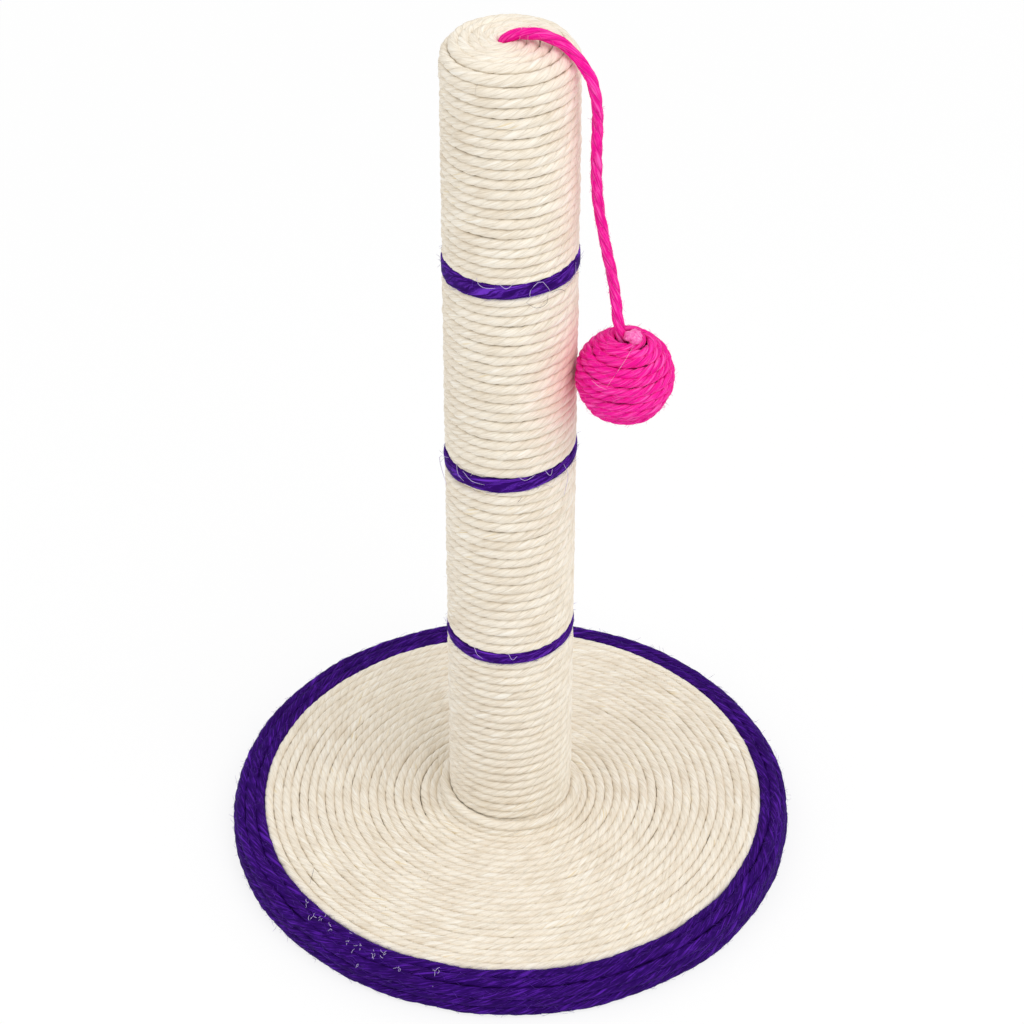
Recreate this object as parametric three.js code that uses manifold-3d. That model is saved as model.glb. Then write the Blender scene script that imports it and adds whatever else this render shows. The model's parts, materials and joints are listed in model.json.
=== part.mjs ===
// Cat scratching post: a rope-wound post on a round rope-covered base, with a rope ball on a cord.
// Millimetres, +Z up. The origin is on the floor, at the middle of the base.
import * as THREE from 'three';
import { mergeVertices } from 'three/addons/utils/BufferGeometryUtils.js';
import Module from 'manifold-3d';

const wasm = await Module();
wasm.setup();

// ---------------------------------------------------------------- driving dimensions
// Overall
const HEIGHT = 474.5; // floor to the top of the rope on the post
const BASE_DIAMETER = 300; // over the purple rim
const GAP = 0.3; // between pieces that touch
const TURN_GAP = 0.46; // between neighbouring turns of one rope

// Base
const LINER_THICKNESS = 1.8;
const LINER_DIAMETER = 276;
const LINER_HOLE = 30; // lets a key reach the bolt
const BOARD_THICKNESS = 12;
const BOARD_EDGE_ROUND = 4;
const BASE_PITCH = 4.67; // the base spiral is pressed tighter than the post's turns
const RIM_ROPE = 5.4;
const RIM_PITCH = 4.87;
const RIM_WIDTH = 16.1; // purple seen from above
const RIM_BEND = 5; // how the rim rope's middle rounds the edge of the board
const RIM_FOOT = 1.3; // floor to the lowest rim turn
const RIM_START = THREE.MathUtils.degToRad(76); // where cream rope ends and purple begins

// Post
const ROPE = 5.2; // cream sisal rope, across
const POST_PITCHES = [5.15, 5.55, 5.5, 5.3]; // of each cream length, from the floor up
const TUBE_DIAMETER = 51.6;
const TUBE_WALL = 4;
const SHOULDER_ROUND = 11.5; // rounding of the rope-covered top edge
const POST_START = THREE.MathUtils.degToRad(100); // the post's rope ends lie at the back
const BAND_HEIGHT = 9.3;
const BAND_PROUD = 1; // a purple band stands this far out of the cream rope
const BAND_COUNT = 3;
const BAND_LOWEST = 139; // middle of the lowest band
const BAND_SPACING = 110.7;
const BAND_CROWN = 5.3; // width of a band's flat outer face
const BAND_SLIT = 0.8; // between the two ends of a band

// Wooden plugs in the tube, and the fasteners
const LOWER_PLUG_LENGTH = 25;
const UPPER_PLUG_INSERT = 20;
const CAP_SIDE = 7.5; // straight side of the plug's cap, above the tube
const CORD_HOLE = 10.6;
const BOLT_DIAMETER = 8;
const BOLT_LENGTH = 40;
const BOLT_HEAD_DIAMETER = 14;
const BOLT_HEAD_HEIGHT = 4.6;
const BOLT_SOCKET = 5; // across the flats
const BOLT_SOCKET_DEPTH = 2.8;
const BOLT_CHAMFER = 1;
const WASHER_DIAMETER = 24;
const WASHER_THICKNESS = 1.6;
const COUNTERBORE_DEPTH = 6;
const TEE_FLANGE_DIAMETER = 22;
const TEE_FLANGE_THICKNESS = 1.5;
const TEE_BARREL_DIAMETER = 11;
const TEE_BARREL_LENGTH = 9;
const NAIL_DIAMETER = 2.4;
const NAIL_LENGTH = 16;
const NAIL_POINT = 3;
const NAIL_HEAD_DIAMETER = 6;
const NAIL_HEAD_THICKNESS = 1;
const NAILS_IN_A_ROW = 3;
const NAIL_INSET = 10; // from the end of the tube

// Toy
const CORD = 5.5;
const KNOT_DIAMETER = 15;
const KNOT_HEIGHT = 12;
const BALL_DIAMETER = 48.5;
const BALL_DROP = 172; // top of the post to the middle of the ball
const BALL_AZIMUTH = THREE.MathUtils.degToRad(-16.7);
const BALL_MOUTH = THREE.MathUtils.degToRad(21); // half angle of the hole that the cord enters
const BALL_FOOT = THREE.MathUtils.degToRad(12); // half angle left open under the ball
const BALL_PITCH = 5.5;
const BALL_CLEARANCE = 0.4; // from the ball to the rope on the post
const DAB_WIDTH = 8;
const DAB_HEIGHT = 2;
const DAB_TILT = THREE.MathUtils.degToRad(24);
const HANG_AZIMUTH = THREE.MathUtils.degToRad(-11.5); // of the upright plane that the cord hangs in
const SWING_CUT = 19; // top of the post to the fold where the toy swings outwards
const SIDE_CUT = 37.5; // top of the post to the fold where it swings sideways
const SIDE_SWING = THREE.MathUtils.degToRad(45);
const ROOF_SLACK = THREE.MathUtils.degToRad(3); // left between the two ends at full swing

// Facets
const POST_STEPS = 10;
const BASE_STEPS = 20;
const BALL_STEPS = 10;
const ROUND = 48; // large turned pieces
const SMALL_ROUND = 18; // bolt, nut, washer and knot
const PIN_ROUND = 8; // nails and their holes
const CORD_SIDES = 10;

// ---------------------------------------------------------------- finishes
const finish = (color, roughness, metalness = 0) =>
  new THREE.MeshStandardMaterial({ color, roughness, metalness, flatShading: true });
const creamSisal = finish('#e6dcc3', 0.95);
const purpleSisal = finish('#3d128c', 0.95);
const pinkSisal = finish('#ee2a96', 0.9);
const felt = finish('#5b5a58', 1);
const fibreboard = finish('#b08d62', 0.85);
const cardboard = finish('#a98a63', 0.9);
const pine = finish('#d9b98a', 0.75);
const zincSteel = finish('#b9bcc0', 0.4, 1);
const driedGlue = finish('#f48cbe', 0.6);

// ---------------------------------------------------------------- solids from triangles
const MERGE = 1e-4; // corners nearer than this are one

// One closed mesh with shared corners and no empty triangles.
function closed(geometry) {
  geometry.deleteAttribute('normal');
  geometry.deleteAttribute('uv');
  const merged = mergeVertices(geometry, MERGE);
  const corners = merged.index.array;
  const kept = [];
  for (let i = 0; i < corners.length; i += 3) {
    const [a, b, c] = [corners[i], corners[i + 1], corners[i + 2]];
    if (a !== b && b !== c && c !== a) kept.push(a, b, c);
  }
  merged.setIndex(kept);
  return merged;
}

function toSolid(geometry) {
  const merged = closed(geometry);
  const vertProperties = new Float32Array(merged.attributes.position.array);
  const triVerts = new Uint32Array(merged.index.array);
  return new wasm.Manifold(new wasm.Mesh({ numProp: 3, vertProperties, triVerts }));
}

function fromSolid(solid) {
  const { vertProperties, triVerts } = solid.getMesh();
  const geometry = new THREE.BufferGeometry();
  geometry.setAttribute('position', new THREE.BufferAttribute(vertProperties, 3));
  geometry.setIndex(new THREE.BufferAttribute(triVerts, 1));
  return geometry;
}

function cut(geometry, tools) {
  return fromSolid(tools.reduce((body, tool) => body.subtract(toSolid(tool)), toSolid(geometry)));
}

// Turns a profile of [radius, height] round the vertical axis. It is listed from the lowest
// point by way of the outside, and a profile that misses the axis closes on itself.
function turned(profile, sides) {
  const ring = profile[0][0] > MERGE;
  const points = (ring ? [...profile, profile[0]] : profile).map(([r, z]) => new THREE.Vector2(r, z));
  return closed(new THREE.LatheGeometry(points, sides).rotateX(Math.PI / 2));
}

const washerShape = (inner, outer, low, high, sides) =>
  turned([[inner, low], [outer, low], [outer, high], [inner, high]], sides);

// The points of an arc in the half plane of [radius, height].
function arc(centreR, centreZ, radius, from, to, pieces) {
  return Array.from({ length: pieces + 1 }, (_, i) => {
    const angle = from + ((to - from) * i) / pieces;
    return [centreR + radius * Math.cos(angle), centreZ + radius * Math.sin(angle)];
  });
}

// ---------------------------------------------------------------- wound rope
// A meridian is the line that the middle of a rope follows in the half plane of
// [radius, height] while it winds. Each piece has its length and, at a distance along it,
// the point and the direction of travel.
function straight(from, to) {
  const [dr, dz] = [to[0] - from[0], to[1] - from[1]];
  const length = Math.hypot(dr, dz);
  const travel = [dr / length, dz / length];
  const at = (s) => ({ point: [from[0] + travel[0] * s, from[1] + travel[1] * s], travel });
  return { length, at };
}

function bend(centre, radius, from, to) {
  const way = Math.sign(to - from);
  const at = (s) => {
    const angle = from + (way * s) / radius;
    const [c, d] = [Math.cos(angle), Math.sin(angle)];
    return { point: [centre[0] + radius * c, centre[1] + radius * d], travel: [-way * d, way * c] };
  };
  return { length: radius * Math.abs(to - from), at };
}

function along(pieces, distance) {
  let left = distance;
  for (const piece of pieces.slice(0, -1)) {
    if (left <= piece.length) return piece.at(left);
    left -= piece.length;
  }
  return pieces.at(-1).at(left);
}

// The rope's section, as [along the meridian, away from the core].
const ridge = (width, thickness) =>
  [[-width / 2, -thickness / 2], [width / 2, -thickness / 2], [0, thickness / 2]];
const groove = (width, thickness) =>
  [[0, -thickness / 2], [width / 2, thickness / 2], [-width / 2, thickness / 2]];
const diamond = (width, thickness) =>
  [[-width / 2, 0], [0, -thickness / 2], [width / 2, 0], [0, thickness / 2]];
const flatBand = (width, thickness, crown) => [
  [-width / 2, -thickness / 2], [width / 2, -thickness / 2],
  [crown / 2, thickness / 2], [-crown / 2, thickness / 2],
];

// Measures the least distance between a turn and the next, on points spread over both.
function leastGap(rings, steps) {
  const spread = [0, 0.25, 0.5, 0.75];
  const onFace = (i) => rings[i].flatMap((corner, j) => {
    const next = rings[i][(j + 1) % rings[i].length];
    return spread.flatMap((u) => {
      const point = corner.clone().lerp(next, u);
      if (i + 1 === rings.length) return [point];
      const ahead = rings[i + 1][j].clone().lerp(rings[i + 1][(j + 1) % rings[i].length], u);
      return [point, point.clone().lerp(ahead, 0.5)];
    });
  });
  const faces = rings.map((_, i) => onFace(i));
  let least = Infinity;
  faces.forEach((points, i) => {
    for (let k = i + steps - 1; k <= i + steps + 1 && k < faces.length; k++) {
      for (const a of points) {
        for (const b of faces[k]) least = Math.min(least, a.distanceTo(b));
      }
    }
  });
  return least;
}

// Winds one unbroken rope round the vertical axis through (0, 0), in whole turns that start
// and end at the same angle. Its middle advances evenly along the meridian as the angle
// grows. side is 1 where the core lies to the left of the travel and -1 where it lies to the
// right. Returns its closed solid.
function wound(name, { pieces, side, pitch, steps, start, section }) {
  const length = pieces.reduce((sum, piece) => sum + piece.length, 0);
  const count = Math.round(length / pitch) * steps;
  const shape = section((length / count) * steps);
  const rings = Array.from({ length: count + 1 }, (_, i) => {
    const { point, travel } = along(pieces, (length * i) / count);
    const away = [side * travel[1], -side * travel[0]];
    const angle = start + (2 * Math.PI * i) / steps;
    return shape.map(([a, b]) => {
      const r = point[0] + a * travel[0] + b * away[0];
      const z = point[1] + a * travel[1] + b * away[1];
      return new THREE.Vector3(r * Math.cos(angle), r * Math.sin(angle), z);
    });
  });
  console.log(`${name}: ${(count / steps).toFixed(2)} turns, least gap ` +
    `${leastGap(rings, steps).toFixed(2)} mm`);
  return tubeOf(rings, side < 0);
}

// A closed tube through rings of corners, with a flat face at each end.
function tubeOf(rings, forward) {
  const sides = rings[0].length;
  const triangles = [];
  const face = (a, b, c) => triangles.push(...(forward ? [a, c, b] : [a, b, c]));
  for (let i = 0; i + 1 < rings.length; i++) {
    for (let j = 0; j < sides; j++) {
      const [a, b] = [i * sides + j, i * sides + ((j + 1) % sides)];
      face(a, b, b + sides);
      face(a, b + sides, a + sides);
    }
  }
  const last = (rings.length - 1) * sides;
  for (let j = 1; j + 1 < sides; j++) {
    face(0, j + 1, j);
    face(last, last + j, last + j + 1);
  }
  const geometry = new THREE.BufferGeometry().setFromPoints(rings.flat());
  geometry.setIndex(triangles);
  return geometry;
}

// How far a polygon of this many sides draws in at the middle of a side.
const drawnIn = (steps) => Math.cos(Math.PI / steps);

// ---------------------------------------------------------------- levels and radii
const boardFloor = LINER_THICKNESS + GAP;
const boardTop = boardFloor + BOARD_THICKNESS;
const ropeFloor = boardTop + GAP;
const tubeRadius = TUBE_DIAMETER / 2;
const tubeBore = tubeRadius - TUBE_WALL;
const turnInner = (tubeRadius + GAP) / drawnIn(POST_STEPS);
const postRadius = turnInner + ROPE;
const capTop = HEIGHT - ROPE - GAP;
const shoulder = SHOULDER_ROUND - ROPE / 2; // of the rope's middle
const shoulderCentre = [postRadius - SHOULDER_ROUND, HEIGHT - SHOULDER_ROUND];
const capRound = capTop - shoulderCentre[1];
const tubeTop = shoulderCentre[1] - CAP_SIDE - GAP;
const rimMiddle = BASE_DIAMETER / 2 - RIM_ROPE / 2;
const boardRadius = (rimMiddle - RIM_ROPE / 2) * drawnIn(BASE_STEPS) - GAP;
const rimStartRadius = BASE_DIAMETER / 2 - RIM_WIDTH;

// ---------------------------------------------------------------- base
const baseLiner = () => washerShape(LINER_HOLE / 2, LINER_DIAMETER / 2, 0, LINER_THICKNESS, ROUND);

function baseBoard() {
  const hole = BOLT_DIAMETER / 2 + GAP;
  const bore = WASHER_DIAMETER / 2 + GAP;
  const ledge = boardFloor + COUNTERBORE_DEPTH;
  const edge = arc(boardRadius - BOARD_EDGE_ROUND, boardTop - BOARD_EDGE_ROUND,
    BOARD_EDGE_ROUND, 0, Math.PI / 2, 3);
  return turned([[bore, boardFloor], [boardRadius, boardFloor], ...edge, [hole, boardTop],
    [hole, ledge], [bore, ledge]], ROUND);
}

// The cream spiral lies flat on the board, from the foot of the post out to the rim.
function baseRope() {
  const width = (pitch) => pitch * drawnIn(BASE_STEPS) - TURN_GAP;
  const inner = (postRadius + GAP) / drawnIn(BASE_STEPS) + width(BASE_PITCH) / 2;
  const outer = rimStartRadius - GAP;
  const middle = ropeFloor + ROPE / 2;
  return wound('base_rope', {
    pieces: [straight([inner, middle], [outer, middle])],
    side: -1,
    pitch: BASE_PITCH,
    steps: BASE_STEPS,
    start: RIM_START,
    section: (pitch) => ridge(width(pitch), ROPE),
  });
}

// The purple rim carries the spiral on over the board's edge and down its side.
function rimRope() {
  const middle = ropeFloor + RIM_ROPE / 2;
  const bendCentre = [rimMiddle - RIM_BEND, middle - RIM_BEND];
  return wound('rim_rope', {
    pieces: [
      straight([rimStartRadius, middle], [bendCentre[0], middle]),
      bend(bendCentre, RIM_BEND, Math.PI / 2, 0),
      straight([rimMiddle, bendCentre[1]], [rimMiddle, RIM_FOOT + RIM_ROPE / 2]),
    ],
    side: -1,
    pitch: RIM_PITCH,
    steps: BASE_STEPS,
    start: RIM_START + (2 * GAP) / rimStartRadius,
    section: (pitch) => diamond(pitch * drawnIn(BASE_STEPS) - TURN_GAP, RIM_ROPE),
  });
}

// ---------------------------------------------------------------- bolt through the base
const ledgeUnder = boardFloor + COUNTERBORE_DEPTH - GAP;
const washerFloor = ledgeUnder - WASHER_THICKNESS;
const headTop = washerFloor - GAP;

const baseWasher = () =>
  washerShape(BOLT_DIAMETER / 2 + GAP, WASHER_DIAMETER / 2, washerFloor, ledgeUnder, SMALL_ROUND);

function baseBolt() {
  const low = headTop - BOLT_HEAD_HEIGHT;
  const tip = headTop + BOLT_LENGTH;
  const shank = BOLT_DIAMETER / 2;
  const head = BOLT_HEAD_DIAMETER / 2;
  const body = turned([[0, low], [head - BOLT_CHAMFER, low], [head, low + BOLT_CHAMFER],
    [head, headTop], [shank, headTop], [shank, tip - BOLT_CHAMFER], [shank - BOLT_CHAMFER, tip],
    [0, tip]], SMALL_ROUND);
  const key = new THREE.CylinderGeometry(BOLT_SOCKET / Math.sqrt(3), BOLT_SOCKET / Math.sqrt(3),
    2 * BOLT_SOCKET_DEPTH, 6).rotateX(Math.PI / 2).translate(0, 0, low);
  return cut(body, [key]);
}

const lowerPlugTop = ropeFloor + LOWER_PLUG_LENGTH;

function teeNut() {
  const bore = BOLT_DIAMETER / 2 + GAP;
  const barrel = TEE_BARREL_DIAMETER / 2;
  const flange = TEE_FLANGE_DIAMETER / 2;
  const seat = lowerPlugTop + GAP;
  return turned([[bore, seat - TEE_BARREL_LENGTH], [barrel, seat - TEE_BARREL_LENGTH],
    [barrel, seat], [flange, seat], [flange, seat + TEE_FLANGE_THICKNESS],
    [bore, seat + TEE_FLANGE_THICKNESS]], SMALL_ROUND);
}

// ---------------------------------------------------------------- tube, plugs and nails
// A nail points at the post's axis, with the outside of its head just under the tube's skin.
const nailRows = [ropeFloor + NAIL_INSET, tubeTop - NAIL_INSET];
const nailSeat = tubeRadius - GAP;
const nailAngles = Array.from({ length: NAILS_IN_A_ROW },
  (_, i) => (2 * Math.PI * (i + 0.5)) / NAILS_IN_A_ROW);

// The nail itself, or with slack all round, the hole that it sits in.
function radialPin(height, angle, slack) {
  const shank = NAIL_DIAMETER / 2 + slack;
  const head = NAIL_HEAD_DIAMETER / 2 + slack;
  const under = -NAIL_HEAD_THICKNESS - slack;
  const tip = -NAIL_LENGTH - slack;
  const outside = slack > 0 ? NAIL_HEAD_THICKNESS : 0; // a hole runs out through the tube's skin
  const profile = [[0, tip], [shank, tip + NAIL_POINT], [shank, under], [head, under],
    [head, outside], [0, outside]];
  return turned(profile, PIN_ROUND).rotateY(Math.PI / 2).translate(nailSeat, 0, 0)
    .rotateZ(angle).translate(0, 0, height);
}

const nailHoles = (height) => nailAngles.map((angle) => radialPin(height, angle, GAP));

const postTube = () => cut(washerShape(tubeBore, tubeRadius, ropeFloor, tubeTop, ROUND),
  nailRows.flatMap(nailHoles));

function lowerPlug() {
  const radius = tubeBore - GAP;
  const bolt = BOLT_DIAMETER / 2 + GAP;
  const barrel = TEE_BARREL_DIAMETER / 2 + GAP;
  const ledge = lowerPlugTop - TEE_BARREL_LENGTH;
  return cut(turned([[bolt, ropeFloor], [radius, ropeFloor], [radius, lowerPlugTop],
    [barrel, lowerPlugTop], [barrel, ledge], [bolt, ledge]], ROUND), nailHoles(nailRows[0]));
}

const upperPlugFloor = tubeTop + GAP - UPPER_PLUG_INSERT;

function upperPlug() {
  const insert = tubeBore - GAP;
  const hole = CORD_HOLE / 2;
  const round = arc(tubeRadius - capRound, capTop - capRound, capRound, 0, Math.PI / 2, 4);
  return cut(turned([[hole, upperPlugFloor], [insert, upperPlugFloor], [insert, tubeTop + GAP],
    [tubeRadius, tubeTop + GAP], ...round, [hole, capTop]], ROUND), nailHoles(nailRows[1]));
}

// ---------------------------------------------------------------- rope on the post
const postMiddle = postRadius - ROPE / 2;
const bandMiddles = Array.from({ length: BAND_COUNT }, (_, i) => BAND_LOWEST + i * BAND_SPACING);

// Cream rope fills the height between two levels with turns.
function postRope(name, pitch, low, high) {
  const width = pitch - TURN_GAP;
  const from = low + GAP + width / 2;
  const to = high - GAP - width / 2;
  return wound(name, {
    pieces: [straight([postMiddle, from], [postMiddle, to])],
    side: 1,
    pitch,
    steps: POST_STEPS,
    start: POST_START,
    section: (actual) => ridge(actual - TURN_GAP, ROPE),
  });
}

// One turn of thick purple yarn, whose two ends nearly meet at the back.
function bandRope(middle) {
  const thickness = ROPE + BAND_PROUD;
  const centre = turnInner + thickness / 2;
  const shape = flatBand(BAND_HEIGHT, thickness, BAND_CROWN);
  const sweep = 2 * Math.PI - BAND_SLIT / turnInner;
  const rings = Array.from({ length: POST_STEPS + 1 }, (_, i) => {
    const angle = POST_START + (sweep * i) / POST_STEPS;
    return shape.map(([a, b]) => new THREE.Vector3((centre + b) * Math.cos(angle),
      (centre + b) * Math.sin(angle), middle + a));
  });
  return tubeOf(rings, false);
}

// The last turns round the shoulder and close in on the cord's hole.
function topRope() {
  const width = (pitch) => pitch * drawnIn(POST_STEPS) - TURN_GAP;
  const middle = HEIGHT - ROPE / 2;
  const pitchHere = POST_PITCHES.at(-1);
  const innermost = (CORD_HOLE / 2 + GAP) / drawnIn(POST_STEPS) + width(pitchHere) / 2;
  return wound('top_rope', {
    pieces: [
      bend(shoulderCentre, shoulder, 0, Math.PI / 2),
      straight([shoulderCentre[0], middle], [innermost, middle]),
    ],
    side: 1,
    pitch: pitchHere,
    steps: POST_STEPS,
    start: POST_START,
    section: (pitch) => diamond(width(pitch), ROPE),
  });
}

// ---------------------------------------------------------------- toy
const ballRadius = BALL_DIAMETER / 2;
const ballInner = (ballRadius - ROPE) * drawnIn(BALL_STEPS) - GAP; // the core's radius
const ballReach = postRadius + ballRadius + BALL_CLEARANCE;
const ball = new THREE.Vector3(ballReach * Math.cos(BALL_AZIMUTH),
  ballReach * Math.sin(BALL_AZIMUTH), HEIGHT - BALL_DROP);

// The cord's middle, from the knot under the plug to the core of the ball: [x, y, height above
// the top of the post]. Its hanging part lies in an upright plane through the ball.
const outwards = new THREE.Vector3(Math.cos(HANG_AZIMUTH), Math.sin(HANG_AZIMUTH), 0);
const hung = (x, height) => [x, ball.y + ((x - ball.x) * outwards.y) / outwards.x, height];
const knotTop = upperPlugFloor - GAP;
const cordPoints = [
  [0, 0, knotTop + GAP - HEIGHT], [0, 0, -33], [-0.5, 0, -25.5], [-1.3, 0, -17.5], [-1.9, 0, -10.5],
  [-1.5, 0, -4.5], [0.6, -0.4, 0.1], [4.2, -1.4, 2.9], [8.5, -3, 4], [12.8, -5, 4.4],
  [17.1, -7.2, 4.3], [21.4, -9.6, 3.5], [25.8, -12, 1.4], [30.1, -14.2, -2.5], [34, -15.6, -7.6],
  [36.6, -16.2, -13], [38.1, -16, -19], [39.1, -15, -26.5], hung(39.5, -36), hung(39.5, -46),
  hung(39.5, -57), hung(40, -69), hung(41, -80), hung(42.7, -91), hung(44.9, -102),
  hung(47.2, -113), hung(49.1, -124), hung(50.6, -135),
  hung(ball.x - 2.7, ballRadius - BALL_DROP + 7), hung(ball.x, ballInner + 2 * GAP - BALL_DROP),
].map(([x, y, z]) => new THREE.Vector3(x, y, HEIGHT + z));
const cordLine = new THREE.CatmullRomCurve3(cordPoints, false, 'centripetal');
const cordLength = cordLine.getLength();
console.log(`cord: ${cordLength.toFixed(1)} mm from the knot to the ball's core`);

// The share of the cord's length at which it passes a level on its way down to the ball.
function shareAtLevel(level) {
  const pastTheArch = 0.4;
  const halvings = 40;
  let [low, high] = [pastTheArch, 1];
  for (let i = 0; i < halvings; i++) {
    const middle = (low + high) / 2;
    if (cordLine.getPointAt(middle).z > level) low = middle;
    else high = middle;
  }
  return low;
}

class Stretch extends THREE.Curve {
  constructor(from, to) {
    super();
    Object.assign(this, { from, to });
  }

  getPoint(t) {
    return cordLine.getPointAt(THREE.MathUtils.clamp(this.from + (this.to - this.from) * t, 0, 1));
  }
}

function cordStretch(from, to) {
  const half = GAP / 2 / cordLength;
  const path = new Stretch(from + (from > 0 ? half : 0), to - (to < 1 ? half : 0));
  const outline = Array.from({ length: CORD_SIDES }, (_, i) => {
    const angle = (2 * Math.PI * i) / CORD_SIDES;
    return new THREE.Vector2(Math.cos(angle), Math.sin(angle)).multiplyScalar(CORD / 2);
  });
  const steps = Math.round(((to - from) * cordLength) / CORD);
  return closed(new THREE.ExtrudeGeometry(new THREE.Shape(outline),
    { steps, extrudePath: path, bevelEnabled: false }));
}

// Two slopes that leave a cord's end with a ridge pointing outwards, so that it tips either way.
function roofCuts(ridgePoint, above) {
  const [reach, way] = [4 * CORD, above ? 1 : -1];
  return [-1, 1].map((turn) => new THREE.BoxGeometry(reach, reach, reach)
    .translate(0, 0, (way * (reach - GAP)) / 2)
    .rotateX(turn * (SIDE_SWING + ROOF_SLACK) / 2)
    .rotateZ(HANG_AZIMUTH)
    .translate(ridgePoint.x, ridgePoint.y, ridgePoint.z));
}

const swingShare = shareAtLevel(HEIGHT - SWING_CUT);
const sideShare = shareAtLevel(HEIGHT - SIDE_CUT);
const sidePoint = cordLine.getPointAt(sideShare);
// The hinge of the outward swing crosses the outer side of the cord, so that the cut opens.
const swingPoint = cordLine.getPointAt(swingShare);
const swingTravel = cordLine.getTangentAt(swingShare);
const swingHinge = outwards.clone().addScaledVector(swingTravel, -outwards.dot(swingTravel))
  .setLength(CORD / 2).add(swingPoint);
const placeOf = (point) => point.toArray().map((value) => value.toFixed(2)).join(', ');
console.log(`swing hinge ${placeOf(swingHinge)}; side hinge ${placeOf(sidePoint)}; ` +
  `ball ${placeOf(ball)}`);
const toyCordTop = () => cordStretch(0, swingShare);
const toyCordDrop = () => cut(cordStretch(swingShare, sideShare), roofCuts(sidePoint, false));
const toyCordTail = () => cut(cordStretch(sideShare, 1), roofCuts(sidePoint, true));

function toyKnot() {
  const waist = KNOT_HEIGHT / 2;
  const side = Array.from({ length: 7 }, (_, i) => {
    const lean = -Math.PI / 2 + (Math.PI * i) / 6;
    return [(KNOT_DIAMETER / 2) * Math.cos(lean), knotTop - waist + waist * Math.sin(lean)];
  });
  return turned(side, SMALL_ROUND);
}

const ballCore = () => closed(new THREE.SphereGeometry(ballInner, SMALL_ROUND, SMALL_ROUND / 2)
  .rotateX(Math.PI / 2).translate(...ball));

// The ball's rope winds down from the mouth to the foot.
function ballRope() {
  const middle = ballRadius - ROPE / 2;
  const spread = (ballRadius / middle) * drawnIn(BALL_STEPS); // of the pitch, at the outer face
  return wound('ball_rope', {
    pieces: [bend([0, 0], middle, Math.PI / 2 - BALL_MOUTH, BALL_FOOT - Math.PI / 2)],
    side: -1,
    pitch: BALL_PITCH,
    steps: BALL_STEPS,
    start: POST_START,
    section: (pitch) => groove(pitch * spread - TURN_GAP, ROPE),
  }).translate(...ball);
}

// A dab of glue lies on the turns beside the mouth.
function ballDab() {
  const crown = arc(0, 0, 1, 0, Math.PI / 2, 4)
    .map(([across, up]) => [(across * DAB_WIDTH) / 2, up * DAB_HEIGHT]);
  return turned([[0, 0], ...crown], SMALL_ROUND)
    .translate(0, 0, ballRadius + GAP)
    .rotateY(DAB_TILT)
    .rotateZ(BALL_AZIMUTH)
    .translate(...ball);
}

// ---------------------------------------------------------------- assembly
const catPost = new THREE.Group();

function add(name, geometry, material) {
  const mesh = new THREE.Mesh(geometry, material);
  mesh.name = name;
  catPost.add(mesh);
}

add('base_liner', baseLiner(), felt);
add('base_board', baseBoard(), fibreboard);
add('base_rope', baseRope(), creamSisal);
add('rim_rope', rimRope(), purpleSisal);
add('base_washer', baseWasher(), zincSteel);
add('base_bolt', baseBolt(), zincSteel);
add('tee_nut', teeNut(), zincSteel);
add('lower_plug', lowerPlug(), pine);
add('post_tube', postTube(), cardboard);
add('upper_plug', upperPlug(), pine);
nailAngles.forEach((angle, i) => {
  add(`lower_nail_${i + 1}`, radialPin(nailRows[0], angle, 0), zincSteel);
  add(`upper_nail_${i + 1}`, radialPin(nailRows[1], angle, 0), zincSteel);
});

// Cream rope and purple bands, numbered from the floor up.
const bandEdges = bandMiddles.map((middle) => [middle - BAND_HEIGHT / 2, middle + BAND_HEIGHT / 2]);
const topRopeFloor = shoulderCentre[1];
const levels = [ropeFloor, ...bandEdges.flat(), topRopeFloor];
POST_PITCHES.forEach((pitch, i) => {
  const name = `post_rope_${i + 1}`;
  add(name, postRope(name, pitch, levels[2 * i], levels[2 * i + 1]), creamSisal);
});
bandMiddles.forEach((middle, i) => add(`band_rope_${i + 1}`, bandRope(middle), purpleSisal));
add('top_rope', topRope(), creamSisal);

add('toy_knot', toyKnot(), pinkSisal);
add('toy_cord_top', toyCordTop(), pinkSisal);
add('toy_cord_drop', toyCordDrop(), pinkSisal);
add('toy_cord_tail', toyCordTail(), pinkSisal);
add('ball_core', ballCore(), pine);
add('ball_rope', ballRope(), pinkSisal);
add('ball_dab', ballDab(), driedGlue);

export default catPost;
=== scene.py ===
"""Cat scratching post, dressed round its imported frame: laid rope, twisted cord and rope ball."""

import json
import math

import bpy
import numpy as np
from bpy.props import FloatProperty, FloatVectorProperty, IntProperty, PointerProperty
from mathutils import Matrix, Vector


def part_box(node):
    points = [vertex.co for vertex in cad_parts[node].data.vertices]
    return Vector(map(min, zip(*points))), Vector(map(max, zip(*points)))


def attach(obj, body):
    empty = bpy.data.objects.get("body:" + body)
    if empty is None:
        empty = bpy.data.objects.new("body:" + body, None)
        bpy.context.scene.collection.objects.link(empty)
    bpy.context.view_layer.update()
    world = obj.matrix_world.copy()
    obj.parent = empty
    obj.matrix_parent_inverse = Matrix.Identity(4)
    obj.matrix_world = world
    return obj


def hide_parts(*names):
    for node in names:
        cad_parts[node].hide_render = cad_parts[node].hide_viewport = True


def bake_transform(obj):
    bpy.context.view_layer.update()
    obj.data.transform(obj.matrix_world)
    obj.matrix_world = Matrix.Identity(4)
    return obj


bl_info = {
    "name": "Cat scratching post",
    "version": (1, 0, 0),
    "blender": (4, 5, 0),
    "location": "3D View > Sidebar > Cat post",
    "description": "Sisal rope, bands, cord and ball of a cat scratching post",
    "category": "Add Mesh",
}

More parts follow.
